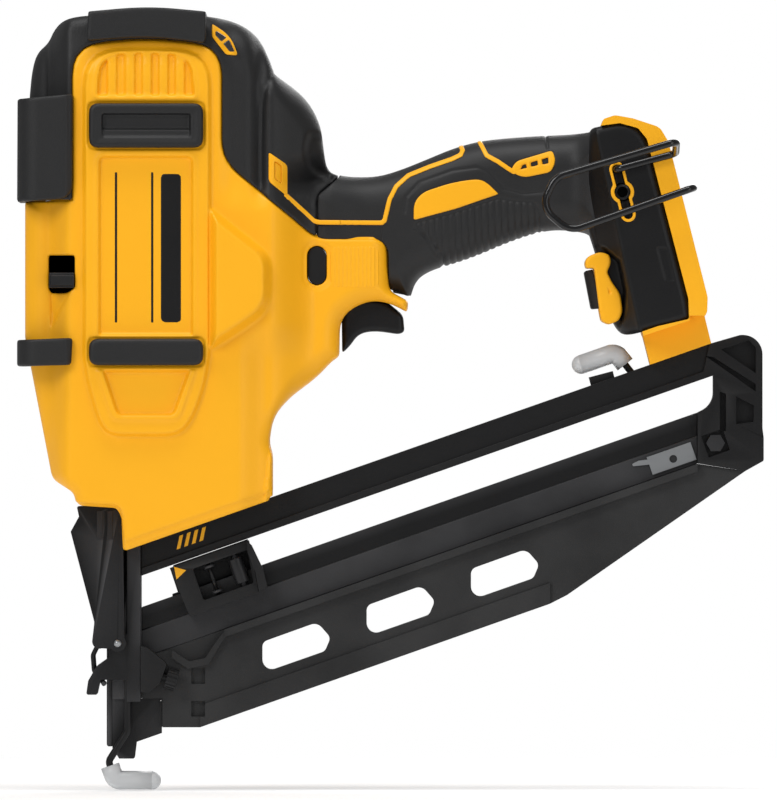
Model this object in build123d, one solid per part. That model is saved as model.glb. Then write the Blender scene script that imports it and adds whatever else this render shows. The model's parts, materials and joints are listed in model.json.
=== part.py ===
from build123d import *
import os
from math import cos, radians, sin, tan

# Cordless angled finish nailer, in millimetres.
# The nail leaves at the origin, straight down. +X runs from the nose to the battery, +Z is up,
# and y = 0 is the plane where the two housing halves meet.

# Overall sizes
BODY_HALF = 36.0          # half the width of the motor housing
BULGE_PROUD = 4.0         # how far the flywheel cover stands proud of the housing
NECK_HALF = 20.0          # half the width behind the trigger
GRIP_HALF = 17.5          # half the width of the grip
FOOT_HALF = 33.0          # half the width of the battery foot
FOOT_X = 194.0            # front of the battery foot
WALL = 3.0                # plastic wall
GRIP_WALL = 4.5           # grip core and the rubber moulded over it
PAD_PROUD = 3.5           # how far the side pads stand proud
BUMPER_PROUD = 2.0        # how far the wrapped bumpers stand proud

# Fits
SHAFT_GAP = 0.05          # radial gap of a turning or sliding shaft
SLIDE_GAP = 0.3           # gap between moving faces

# Drive
CHANNEL_HALF = 1.1        # half the width of the nail channel
BLADE_HALF = 0.8          # half the thickness of the driver blade
BLADE_REACH = 1.5         # half the depth of the driver blade along x
STROKE = 74.0             # driver travel
TIP_REST = 84.0           # height of the blade's tip at rest
CARRIAGE_Z = 205.0        # underside of the driver carriage at rest
CARRIAGE_TALL = 80.0
CARRIAGE_HALF = 5.0
FLYWHEEL_R = 26.0
FLYWHEEL_HALF = 12.0
FLYWHEEL_X = 44.0
FLYWHEEL_Z = 215.0
SHAFT_R = 3.0
BEARING_R = 8.0
ROD_X = 4.0
ROD_Y = 15.0
ROD_R = 2.5
SPRING_R = 4.0
FRAME_IN = 20.0           # inner face of each drive frame plate
FRAME_THICK = 2.5
FRAME_Z0 = 119.9          # underside of the drive frame's base
FRAME_Z1 = 126.0          # top of that base
FRAME_TOP = 286.0         # underside of the frame's top bar
PIN_R = 2.0
BOLT_R = 2.0
HEX_R = 3.9               # corner radius of the bolt's head and nut

# Nose and contact trip
NOSE_TIP = 12.5
NOSE_HALF = 5.0
TIP_HALF = 3.4
WIRE_R = 1.45
TRIP_Y = -7.5
TRIP_X = 0.4
TRIP_TRAVEL = 11.0
PAD_R = 3.9
PAD_Z = 3.7               # height of the pad's own centre line
PLATE_IN = 9.8            # inner face of the nose side plates
PLATE_THICK = 2.6
LATCH_X = -3.7
LATCH_Z = 59.9
LATCH_PIN_R = 1.5
BAIL_X = -11.1
BAIL_Z = 60.7
BAIL_R = 0.95
BAIL_Y = 8.6
LEVER_IN = 13.8
LEVER_OUT = 16.2

# Magazine
SLOPE = 19.3              # degrees the magazine rises towards the rear
MAG_Z0 = 14.9             # height of the magazine's lower edge, taken back to x = 0
MAG_X0 = 6.0              # front end of the magazine, against the nose
MAG_WALL_OUT = 6.9        # outer face of the magazine walls
TRACK_IN = 1.1
TRACK_LOW = 4.6           # outer face of the track's lower step
TRACK_HIGH = 3.6          # outer face of the track's upper step
TRACK_BASE = 36.7         # heights above the lower edge
TRACK_STEP = 48.1
TRACK_TOP = 57.6
RAIL_LOW = 70.5
RAIL_LIP = 73.6
RAIL_TOP = 84.0
RAIL_HALF = 7.5
TRACK_END = FOOT_X + 39.8  # rear end of the walls and the track
REAR_X = FOOT_X + 66.4    # rear face of the magazine's handle
PUSHER_OUT = 11.6

# Controls
TRIGGER_HALF = 8.0
TRIGGER_X = 91.5
TRIGGER_Z = 202.5
TRIGGER_PIN_HALF = 15.0   # half the length of the trigger's pin
INSERT_R = 2.1            # M5 thread core
HOOK_R = 1.5
HOOK_REACH = 24.0         # how far the belt hook stands off the foot

os.makedirs("parts", exist_ok=True)


# ---- helpers ----

def face(corners):
    """Flat face from corners (a, b) or (a, b, corner radius)."""
    points = [(c[0], c[1]) for c in corners]
    radii = [c[2] if len(c) > 2 else 0 for c in corners]
    return make_face(FilletPolyline(*points, radius=radii, close=True))


def slab(corners, y0, y1):
    """Solid with an outline in x and z that fills y0 to y1."""
    side = Plane((0, y1, 0), x_dir=(1, 0, 0), z_dir=(0, -1, 0))
    return extrude(side * face(corners), y1 - y0)


def plan(corners, z0, z1):
    """Solid with an outline in x and y that fills z0 to z1."""
    return extrude(Plane((0, 0, z0)) * face(corners), z1 - z0)


def block(x0, x1, y0, y1, z0, z1):
    """Box between two corners."""
    middle = Pos((x0 + x1) / 2, (y0 + y1) / 2, (z0 + z1) / 2)
    return middle * Box(x1 - x0, y1 - y0, z1 - z0)


def rod(start, end, r):
    """Round bar from one point to another."""
    run = Vector(*end) - Vector(*start)
    return extrude(Plane(start, z_dir=run) * Circle(r), run.length)


def across(x, z, r, y0, y1):
    """Round bar that lies along y."""
    return rod((x, y0, z), (x, y1, z), r)


def wire(points, radii, r):
    """Round wire along straight runs with rounded corners."""
    path = FilletPolyline(*points, radius=radii)
    start = Plane(path @ 0, z_dir=path % 0)
    return sweep(start * Circle(r), path=path)


def both(solid):
    """A solid and its mirror image on the far side."""
    return [solid, mirror(solid, about=Plane.XZ)]


def on_slope(x, height):
    """Point at x, a vertical height above the magazine's lower edge."""
    return (x, MAG_Z0 + x * tan(radians(SLOPE)) + height)


def along(x, height, forward, up):
    """Point moved along and square to the magazine from a point on it."""
    px, pz = on_slope(x, height)
    c, s = cos(radians(SLOPE)), sin(radians(SLOPE))
    return (px + forward * c - up * s, pz + forward * s + up * c)


def corrugated(x, y, z0, z1, r_out, r_in, turns):
    """Closed envelope of a coil spring, with one ridge for each turn."""
    step = (z1 - z0) / turns
    outer = []
    for i in range(turns):
        outer.append((r_out - 0.7, z0 + i * step))
        outer.append((r_out, z0 + (i + 0.5) * step))
    outer.append((r_out - 0.7, z1))
    profile = Plane.XZ * Polygon(*outer, (r_in, z1), (r_in, z0), align=None)
    return Pos(x, y, 0) * revolve(profile, Axis.Z)


def near_half(solid):
    return solid & block(-100, 400, -90, 0, -20, 400)


def far_half(solid):
    return solid & block(-100, 400, 0, 90, -20, 400)


def save(name, *solids):
    """Write one node; several solids become one group."""
    pieces = []
    for item in solids:
        pieces.extend(item.solids())
    shape = pieces[0] if len(pieces) == 1 else Compound(children=pieces)
    export_step(shape, f"parts/{name}.step")


def save_shells(name, solid, sites):
    """Split a shell at y = 0 and give each half its screw bosses."""
    save(name + "_left", with_bosses(near_half(solid), sites, -1))
    save(name + "_right", with_bosses(far_half(solid), sites, 1))


# ---- outlines of the outer shells, in x and z ----

def housing_outline(inset=0.0):
    """Yellow housing; inset moves each side inwards for the cavity."""
    i = inset
    return [
        (-41.9 + i, 241), (-41.9 + i, 185), (-30.7 + i, 127 + i, 2), (-21.5 + i, 121 + i, 1),
        (-20.7 + i, 117.6 + i, 0.5), (-0.7 + i, 116.6 + i, 1), on_slope(-0.7 + i, RAIL_TOP + i),
        on_slope(60.1 - i, RAIL_TOP + i),
        (60.1 - i, 139, 2), (58.6 - i, 142), (60.2 - i, 152.5 + i * 0.4, 6), (66 - i * 0.6, 160 + i),
        (77.5 - i * 0.6, 167.3 + i, 15), (84.3 - i, 175.4 + i, 2), (87.7 - i, 177 + i, 1),
        (87.7 - i, 199.6 + i, 5),
        (106, 199.6 + i, 12), (115.4 - i, 194.9 + i, 0.6), (115.8 - i, 200.4 - i * 0.2, 0.6),
        (107.4 - i, 204.5 - i * 0.2, 1), (107.4 - i, 225.5 - i, 7), (76.8 - i * 0.4, 225.5 - i, 5),
        (38.9 - i, 257.8 - i * 0.4, 6), (38.9 - i, 307.3 - i, 8), (-21.9 + i, 307.3 - i, 8),
        (-21.9 + i, 241),
    ]


def cover_outline(inset=0.0):
    """Silhouette of the top cover, closed inside the housing's own outline."""
    i = inset
    return [
        (-39.9 + i, 241), (-38.2 + i, 301.2 - i * 0.6, 6), (-31 + i, 306.3 - i * 0.6, 3),
        (-28.6 + i, 315.4 - i, 6), (-14, 317.2 - i), (33, 317.2 - i, 30),
        (51.2 - i * 0.6, 311.2 - i * 0.7, 10),
        (59.5 - i * 0.8, 293.4 - i * 0.6), (75 - i * 0.6, 283.4 - i * 0.6, 10), (80.6 - i, 268, 12),
        (81.2 - i, 254.6 - i * 0.4, 3), (88.5 + i, 250.9 - i), (88.5 + i, 220), (20, 220), (20, 241),
    ]


def cavity_outline():
    """Hollow shared by the housing and the cover."""
    w = WALL
    return [
        (-41.9 + w, 240), (-41.9 + w, 186), (-30.7 + w, 128.5 + w), (-19.5 + w, 119.8),
        (-0.7 + w, 119.8), (-0.7 + w, 105.5), (60.1 - w, 124), (60.1 - w - 1.5, 153), (66 - w, 163.5),
        (82 - w, 174.5), (87.7 - w, 181), (87.7 - w, 202.8), (104.4, 202.8), (104.4, 222.5), (88.5, 222.5),
        (88.5, 247.5), (79, 251.5), (77.6, 267), (72.5, 280.5), (56.3, 291.5), (48.8, 308.5), (33, 314),
        (-14, 314),
        (-25.5, 312.5), (-28.5, 303.5), (-35, 298.5), (-36.9, 240),
    ]


def width_plan(inset=0.0):
    """Plan view of the housing's width, in x and y: slim nose side, full body, slim neck."""
    b = BODY_HALF - inset
    n = NECK_HALF - inset
    f = BODY_HALF - 14 - inset
    i = inset
    near = [(-50, -f), (-42 + i, -f), (-28 + i, -b, 6), (57 - i, -b, 6), (74 - i, -n), (130, -n)]
    return near + [(c[0], -c[1], *c[2:]) for c in reversed(near)]


def grip_outline(inset=0.0):
    """Grip from the cover to the foot; its lower left lies inside the housing's outline."""
    i = inset
    end = FOOT_X - 5
    return [
        (88.5, 250.9 - i), (103, 250.7 - i, 20), (124, 258.4 - i), (145, 265.4 - i, 30), (end, 268.6 - i),
        (end, 228 + i), (end - 14, 229.4 + i, 12), (153, 222.2 + i), (136.5, 215.8 + i),
        (121.5 + i * 0.3, 212 + i, 6),
        (115.8 + i * 1.4, 200.4 + i), (96, 208), (96, 216), (88.5, 216),
    ]


def foot_outline(inset=0.0):
    """Black foot covers."""
    i = inset
    fx = FOOT_X
    return [
        (fx - 5, 268.6 - i), (fx, 271.6 - i), (fx + 7.7, 272.6 - i), (fx + 15.1 - i, 270.6 - i, 2),
        (fx + 18.8 - i, 266.1 - i, 2), (fx + 35.7 - i, 200.8), (fx + 36 - i, 192.6 + i, 1),
        (fx + 23, 189.6 + i),
        (fx + 13, 186.1 + i, 5), (fx + 8 + i * 0.3, 185.9 + i, 3), (fx + 5.1 + i, 191.5 + i * 0.4),
        (fx - 1.9 + i, 221, 5), (fx - 5, 228 + i),
    ]


def foot_plan(inset=0.0):
    """Plan view of the foot, which narrows towards the grip."""
    f = FOOT_HALF - inset
    fx = FOOT_X
    near = [(fx - 10, -20 + inset), (fx - 2, -21 + inset, 4), (fx + 13, -f, 4), (fx + 60, -f)]
    return near + [(c[0], -c[1], *c[2:]) for c in reversed(near)]


DOCK_TILT = 14.2


def dock_point(down, out):
    """Point on the dock: a distance down its rear face and a distance out of it."""
    c, s = cos(radians(DOCK_TILT)), sin(radians(DOCK_TILT))
    return (FOOT_X + 27.6 + down * s + out * c, 265 - down * c + out * s)


def dock_outline():
    fx = FOOT_X
    return [
        (fx + 0.1, 271.6), (fx + 1.2, 274.4, 0.8), (fx + 5.7, 275.9, 4), (fx + 13, 274.6),
        (fx + 24, 271, 5),
        (fx + 27.6, 265, 4), (fx + 43.6, 201.5, 6), (fx + 43.4, 195.6, 1.5), (fx + 42.6, 193.8),
        on_slope(fx + 45.3, RAIL_TOP),
        on_slope(fx + 20.3, RAIL_TOP), (fx + 16.9, 187.3), (fx + 16, 195), (fx + 5, 250), (fx + 2, 268),
    ]


# ---- screws and bosses ----

def screw_sites():
    """(x, z, half width of the shell there) of each shell screw."""
    fx = FOOT_X
    return {
        "housing": [(-26, 152, BODY_HALF), (50, 131, BODY_HALF)],
        "cover": [(47, 299, BODY_HALF), (-26.5, 291, BODY_HALF), (70, 269, NECK_HALF)],
        "grip": [(150, 256, GRIP_HALF)],
        "foot": [(fx + 12, 196, FOOT_HALF), (fx, 262, FOOT_HALF - 12)],
    }


SCREW_R = 1.6
HEAD_R = 3.0
HEAD_DEEP = 7.0           # depth of the counterbore in the far shell
BOSS_R = 4.2


def with_bosses(solid, sites, side):
    """Adds the screw bosses to one half shell and bores them for screw and head."""
    for x, z, half in sites:
        solid = solid + across(x, z, BOSS_R, *sorted((0, side * (half - WALL))))
    for x, z, half in sites:
        solid = solid - across(x, z, SCREW_R, -12, half - HEAD_DEEP)
        solid = solid - across(x, z, HEAD_R, half - HEAD_DEEP, half + 20)
    return solid


def shell_screws():
    screws = []
    for sites in screw_sites().values():
        for x, z, half in sites:
            shank = across(x, z, SCREW_R, -12, half - HEAD_DEEP)
            head = across(x, z, HEAD_R, half - HEAD_DEEP, half - HEAD_DEEP + 2.5)
            socket = across(x, z, 1.2, half - HEAD_DEEP + 1, half - HEAD_DEEP + 3)
            screws.append(shank + head - socket)
    return screws


# ---- shells ----

def bulge():
    """Raised octagonal cover over the flywheel, on both sides."""
    shape = [(36, 238), (59, 219, 3), (59.5, 196, 4), (42, 184.5), (36, 181)]
    return slab(shape, -BODY_HALF - BULGE_PROUD, BODY_HALF + BULGE_PROUD)


def body_solid(inset=0.0):
    outer = slab(cover_outline(inset), -BODY_HALF, BODY_HALF) + slab(housing_outline(inset), -BODY_HALF,
        BODY_HALF)
    return outer & plan(width_plan(inset), 80, 330)


def body_cavity():
    return slab(cavity_outline(), -BODY_HALF, BODY_HALF) & plan(width_plan(WALL), 80, 330)


def trigger_slot():
    """Opening that the trigger comes out of."""
    half = TRIGGER_HALF + SLIDE_GAP * 2
    return slab([(87.4, 172), (117, 172), (117, 201.5), (109, 203), (109, 210.5), (87.4, 210.5)], -half,
        half)


def grip_passage():
    """Way from the neck into the grip, for the switch and the wiring."""
    return block(90, 116, -12, 12, 210, 246)


LIGHT = [(35, 313.2, 1), (35, 308), (40.8, 300.6), (45.8, 300.2, 1), (42.3, 308.4, 8)]


PANES = [
    [(36.5, 310.5, 0.5), (36.5, 308.4), (38.9, 306), (41, 307.6)],
    [(39.7, 305), (42.4, 301.8), (44.4, 301.7, 0.5), (42, 306.7)],
]


def light_parts():
    """Raised black surrounds of the work lights, and the lenses set into them."""
    surround = both(slab(LIGHT, -BODY_HALF - 0.6, -BODY_HALF + 3))
    lenses = []
    for pane in PANES:
        lenses += both(slab(pane, -BODY_HALF - 0.2, -BODY_HALF + 2))
    return surround, lenses


STALL_X0, STALL_X1 = -31.7, -20.9
STALL_Z0, STALL_Z1 = 205.0, 218.6
LOCK_X, LOCK_Z, LOCK_R, LOCK_TALL = 77.9, 214.5, 3.7, 8.0


def lock_shape(r, y0, y1):
    """Upright rounded bar of the lock-off button or of its hole."""
    bar = across(LOCK_X, LOCK_Z - LOCK_TALL / 2, r, y0, y1) + across(LOCK_X, LOCK_Z + LOCK_TALL / 2, r,
        y0, y1)
    return bar + block(LOCK_X - r, LOCK_X + r, y0, y1, LOCK_Z - LOCK_TALL / 2, LOCK_Z + LOCK_TALL / 2)


VENT_X = (-9.2, -2.2, 4.75, 11.7, 18.65, 25.6)
VENT_HALF = 1.2


def vents():
    """Slots beside the five grille bars, cut through both sides."""
    cuts = []
    for x in VENT_X:
        top = 297 if x in (VENT_X[0], VENT_X[-1]) else 299
        cuts.append(block(x - VENT_HALF, x + VENT_HALF, -BODY_HALF - 1, BODY_HALF + 1, 285, top))
    return cuts


def panel_recess():
    """Shallow label field, its frame and the lower trapezoid, on both sides."""
    field = [(-9.8, 186.6), (26.4, 186.6), (26.4, 257.9, 3), (-9.8, 257.9, 3)]
    tray = [(-8.4, 171.6), (24.8, 171.6), (20, 154, 2), (-3.6, 154, 2)]
    depth = 0.8
    return both(slab(field, -BODY_HALF - 1, -BODY_HALF + depth)) + both(slab(tray, -BODY_HALF - 1,
        -BODY_HALF + depth))


def shells():
    outline_h = slab(housing_outline(), -60, 60)
    body = body_solid()
    hollow = body_cavity()
    cover = body - outline_h - hollow
    housing = (body & outline_h) + (bulge() & outline_h)
    housing = housing - hollow
    nose_opening = block(-12.2, 10, -10.6, 10.6, 90, 121)
    stall = block(STALL_X0, STALL_X1, -60, -BODY_HALF + 16, STALL_Z0, STALL_Z1)
    lock = lock_shape(LOCK_R + SLIDE_GAP, -60, 60)
    pin = across(TRIGGER_X, TRIGGER_Z, PIN_R, -TRIGGER_PIN_HALF, TRIGGER_PIN_HALF)
    for cut in [nose_opening, stall, lock, pin, trigger_slot(), grip_passage()] + vents() + panel_recess():
        housing = housing - cut
    surround, lenses = light_parts()
    cover = sum_of([cover] + surround) - grip_passage()
    for lens in lenses:
        cover = cover - lens
    save("light_lenses", *lenses)
    for x, z, half in side_pad_sites():
        housing = housing - pad_outline(x, z, half, -60, -BODY_HALF + 1.5, 0)
        housing = housing - pad_outline(x, z, half, BODY_HALF - 1.5, 60, 0)
    save_shells("housing", housing, screw_sites()["housing"])
    save_shells("cover", cover, screw_sites()["cover"])


def grip():
    outline_h = slab(housing_outline(), -60, 60)
    outer = slab(grip_outline(), -GRIP_HALF, GRIP_HALF)
    hollow = slab(grip_outline(GRIP_WALL), -GRIP_HALF + GRIP_WALL, GRIP_HALF - GRIP_WALL)
    shell = outer - hollow - outline_h - grip_passage() - trigger_slot()
    save_shells("grip", shell, screw_sites()["grip"])


KEY_LONG = 9.5            # from the keyhole's round middle to each end of its slot


def key_top():
    """Upper end of the keyhole, where the belt hook goes in."""
    tilt = radians(DOCK_TILT)
    return (FOOT_X + 8.8 - sin(tilt) * KEY_LONG, 244.5 + cos(tilt) * KEY_LONG)


def key_shape(ring, slot, y0, y1):
    """Keyhole with a round middle and a slot that follows the foot's tilt."""
    up = (-sin(radians(DOCK_TILT)), cos(radians(DOCK_TILT)))
    cx, cz = FOOT_X + 8.8, 244.5
    low = (cx - up[0] * KEY_LONG, cz - up[1] * KEY_LONG)
    high = key_top()
    shape = across(cx, cz, ring, y0, y1) + across(*low, slot, y0, y1) + across(*high, slot, y0, y1)
    sx, sz = up[1] * slot, -up[0] * slot
    bar = [
        (low[0] - sx, low[1] - sz), (low[0] + sx, low[1] + sz), (high[0] + sx, high[1] + sz),
        (high[0] - sx, high[1] - sz),
    ]
    return shape + slab(bar, y0, y1)


INSERT_LONG = 9.0
SLEEVE_R = 3.3            # outside of the threaded inserts


def foot():
    outer = slab(foot_outline(), -FOOT_HALF, FOOT_HALF) & plan(foot_plan(), 150, 300)
    hollow = slab(foot_outline(WALL), -FOOT_HALF, FOOT_HALF) & plan(foot_plan(WALL), 150, 300)
    way_in = block(FOOT_X - 8, FOOT_X + 4, -12, 12, 232, 264)
    to_dock = block(FOOT_X + 18, FOOT_X + 34, -12, 12, 215, 245)
    cover = outer - hollow - way_in - to_dock
    hx, hz = FOOT_X + 8.8, 244.5
    for side in (-1, 1):
        inner = side * (FOOT_HALF - WALL)
        boss = across(hx, hz, 5.6, *sorted((inner, inner - side * INSERT_LONG)))
        cover = cover + boss
        cover = cover - across(hx, hz, SLEEVE_R, *sorted((side * 60, inner - side * INSERT_LONG)))
    for rim in both(key_shape(5.0, 3.2, -FOOT_HALF - 0.6, -FOOT_HALF + WALL)):
        cover = cover + rim
    for mouth in both(key_shape(SLEEVE_R, 1.9, -60, -FOOT_HALF + 1)) + both(across(hx, hz, SLEEVE_R, -60,
        -FOOT_HALF + WALL)):
        cover = cover - mouth
    cover = cover - across(*key_top(), HOOK_R, -60, -FOOT_HALF + WALL + 1)
    save_shells("foot_cover", cover, screw_sites()["foot"])
    inserts = []
    for side in (-1, 1):
        inner = side * (FOOT_HALF - WALL)
        ends = sorted((inner, inner - side * INSERT_LONG))
        inserts.append(across(hx, hz, SLEEVE_R, *ends) - across(hx, hz, INSERT_R, *ends))
    save("accessory_inserts", *inserts)


LEG_HALF = 15.0
RECESS_HALF = 27.0
LIP_HALF = 24.0


def dock():
    frame = slab(dock_outline(), -FOOT_HALF, FOOT_HALF) - slab(foot_outline(), -60, 60)
    for y0, y1 in [(-60, -LEG_HALF), (LEG_HALF, 60)]:
        frame = frame - slab([(FOOT_X, 150), (FOOT_X + 80, 150), (FOOT_X + 80, 194), (FOOT_X + 36.2, 194),
            (FOOT_X + 36.2, 192), (FOOT_X, 180)], y0, y1)
    top, bottom = 8, 62
    deep = [dock_point(top, -6), dock_point(bottom, -6), dock_point(bottom, -2.5), dock_point(top, -2.5)]
    mouth = [dock_point(top, -3), dock_point(bottom, -3), dock_point(bottom, 9), dock_point(top, 9)]
    frame = frame - slab(deep, -RECESS_HALF, RECESS_HALF) - slab(mouth, -LIP_HALF, LIP_HALF)
    wire_way = [dock_point(22, -12), dock_point(40, -12), dock_point(40, -5), dock_point(22, -5)]
    frame = frame - slab(wire_way, -9, 9)
    save("battery_dock", frame)
    floor, rise = -6, -1.5
    body = [dock_point(14, floor), dock_point(46, floor), dock_point(46, rise), dock_point(14, rise)]
    terminal = slab(body, -14, 14)
    blades = []
    for y in (-10.5, -3.5, 3.5, 10.5):
        slot = [
            dock_point(18, rise - 2.4), dock_point(42, rise - 2.4), dock_point(42, rise + 3),
            dock_point(18, rise + 3),
        ]
        terminal = terminal - slab(slot, y - 0.4, y + 0.4)
        blade = [
            dock_point(18, rise - 2.4), dock_point(42, rise - 2.4), dock_point(42, rise + 1.2),
            dock_point(18, rise + 1.2),
        ]
        blades.append(slab(blade, y - 0.4, y + 0.4))
    save("terminal_block", sum_of([terminal] + blades))


# ---- bumpers, pads and lights ----

def side_pad_sites():
    """(centre x, centre z, half height) of the two side pads."""
    return [(8.2, 271.6, 9.25), (8.2, 179.1, 5.6)]


PAD_LONG = 23.5


def pad_outline(x, z, half, y0, y1, shrink):
    a = PAD_LONG - shrink
    b = half - shrink
    r = min(b - 0.5, 4)
    return slab([(x - a, z - b, r), (x + a, z - b, r), (x + a, z + b, r), (x - a, z + b, r)], y0, y1)


def side_pads():
    pads = []
    for x, z, half in side_pad_sites():
        pad = pad_outline(x, z, half, -BODY_HALF - PAD_PROUD, -BODY_HALF + 1.5, 0)
        if half > 8:
            pad = pad - block(x - 18, x + 18, -60, -BODY_HALF - 0.5, z - 4.5, z + 4.5)
        pads += both(pad)
    save("side_pads", *pads)


def wrapped(corners):
    """Bumper that wraps round the body from one side to the other."""
    half = BODY_HALF + BUMPER_PROUD
    return slab(corners, -half, half) - body_solid()


def bumpers():
    top = [
        (-15.4, 305.5, 1), (-15.2, 318.3, 0.5), (9, 319.8), (32.4, 318.3, 0.5), (32.2, 305.8, 1),
        (9, 307.2),
    ]
    save("bumper_top", wrapped(top))
    edge = BODY_HALF + BUMPER_PROUD
    near = [(-60, 14 - edge), (-43.6, 14 - edge), (-29.6, -edge), (0, -edge)]
    slim = plan(near + [(x, -y) for x, y in reversed(near)], 100, 330)
    upper = [(-44.6, 242.2, 0.5), (-21.6, 244.5, 4), (-21.6, 284.3, 2), (-44.3, 282.3, 0.5)]
    lower = [(-44.6, 173.3, 1), (-22, 174.3, 1.5), (-22, 184.7, 1.5), (-44.6, 183.4, 1)]
    save("bumper_front_upper", wrapped(upper) & slim)
    save("bumper_front_lower", wrapped(lower) & slim)


# ---- controls ----

def trigger_group():
    hub = across(TRIGGER_X, TRIGGER_Z, 3.6, -TRIGGER_HALF, TRIGGER_HALF)
    shape = [(88.1, 179, 0.5), (88.1, 198), (90, 204.5), (96, 204.5), (98, 200.5), (112.4, 197.6, 2),
        (114, 188.6, 2),
             (111.5, 186.6, 1), (101, 187.9, 10), (94.3, 186.2, 4), (90.2, 179.6, 1)]
    body = slab(shape, -TRIGGER_HALF, TRIGGER_HALF) + hub
    body = body - across(TRIGGER_X, TRIGGER_Z, PIN_R + SHAFT_GAP, -60, 60)
    save("trigger", body)
    switch = block(97, 115.5, -8, 8, 211, 227) + block(105.4, 107.8, -4, 4, 202, 211)
    save("trigger_switch", switch)
    save("trigger_lock_off", lock_shape(LOCK_R, -NECK_HALF + 1.2, NECK_HALF + 4.5))


def stall_release():
    gap = SLIDE_GAP
    slider = block(STALL_X0 + gap, STALL_X1 - gap, -BODY_HALF + 1.5, -BODY_HALF + 12, STALL_Z0 + gap,
        STALL_Z0 + 6.5)
    grip_bar = block(STALL_X0 + gap + 0.7, STALL_X1 - gap, -BODY_HALF + 0.4, -BODY_HALF + 1.5,
        STALL_Z0 + 1.2, STALL_Z0 + 5.4)
    save("stall_release", slider + grip_bar)


SELECTOR_HALF = 24.0


def selector():
    fx = FOOT_X
    shape = [(fx - 6.5, 216.5, 2), (fx - 0.5, 220.2, 2), (fx + 3.9, 218.6, 1.5), (fx + 1.7, 210),
        (fx + 7.8, 202.5, 2),
             (fx + 9, 193, 2), (fx + 3.5, 190.4, 2), (fx - 1.5, 193.5, 1.5)]
    solid = slab(shape, -SELECTOR_HALF, SELECTOR_HALF) - (slab(foot_outline(), -60,
        60) & plan(foot_plan(), 150, 300))
    window = [(fx - 9, 213.4), (fx - 3, 213.4), (fx - 1, 205), (fx + 1.2, 196.2), (fx - 7, 196.2)]
    solid = solid - slab(window, -SELECTOR_HALF + 5, SELECTOR_HALF - 5)
    save("selector_bracket", solid)
    gap = SLIDE_GAP
    button = [
        (fx - 6.9, 212.2, 1.2), (fx - 3.2, 213.0, 0.5), (fx - 1 - gap, 205), (fx + 0.4 - gap, 197, 0.5),
        (fx - 3.9, 196.6, 1),
    ]
    save("mode_selector", slab(button, -16, 10))


def belt_hook():
    fx = FOOT_X
    y_in, y_out = -FOOT_HALF - HOOK_R - 0.9, -FOOT_HALF - HOOK_REACH
    hx, hz = key_top()
    points = [
        (hx, -FOOT_HALF + WALL + 1, hz), (hx, y_in, hz), (fx + 30.5, y_in, 260.2),
        (fx + 30.5, y_out, 264.8),
        (fx - 19, y_out, 250.2), (fx - 24.5, y_out, 238), (fx - 13, y_out, 228.2),
        (fx + 37.5, y_out, 246), (fx + 37.5, y_out + 7, 246),
    ]
    save("belt_hook", wire(points, [2.4, 3, 3, 9, 8, 9, 3], HOOK_R))


# ---- drive ----

def drive_frame():
    left = [
        (-14, FRAME_Z0), (40, FRAME_Z0 + 2), (44, 150), (61, 190), (61, 236), (30, 292), (-12, 292),
        (-33, 250), (-33, 186), (-16, 178),
    ]
    plate = slab(left, -FRAME_IN - FRAME_THICK, -FRAME_IN)
    plate = plate - across(FLYWHEEL_X, FLYWHEEL_Z, BEARING_R, -60, 0) - across(-21, 196, PIN_R, -60, 0)
    frame = plate + mirror(plate, about=Plane.XZ)
    frame = frame + block(-14, 30, -FRAME_IN, FRAME_IN, FRAME_Z0 + 1, FRAME_Z1) + block(-12, 12,
        -FRAME_IN, FRAME_IN, FRAME_Z0, FRAME_Z1)
    frame = frame + block(-10, 20, -FRAME_IN, FRAME_IN, FRAME_TOP, FRAME_TOP + 6)
    bracket = [
        (-8, -FRAME_IN), (-1.5, -FRAME_IN), (-1.5, -11.5), (2.9, -9.5), (2.9, -CARRIAGE_HALF - 0.35),
        (-8, -CARRIAGE_HALF - 0.35),
    ]
    frame = frame + plan(bracket, 158, 161)
    for y in (-ROD_Y, ROD_Y):
        frame = frame - rod((ROD_X, y, FRAME_Z0 + 2), (ROD_X, y, FRAME_TOP + 4), ROD_R)
    reach = BLADE_REACH + SLIDE_GAP
    frame = frame - block(-reach, reach, -CHANNEL_HALF, CHANNEL_HALF, 100, 150)
    frame = frame - rod((TRIP_X, TRIP_Y, 100), (TRIP_X, TRIP_Y, 140), WIRE_R + SHAFT_GAP)
    save("drive_frame", frame)
    rods = [rod((ROD_X, y, FRAME_Z0 + 2), (ROD_X, y, FRAME_TOP + 4), ROD_R) for y in (-ROD_Y, ROD_Y)]
    save("guide_rods", *rods)


EAR_Z0, EAR_Z1 = 270.0, 280.0


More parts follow.
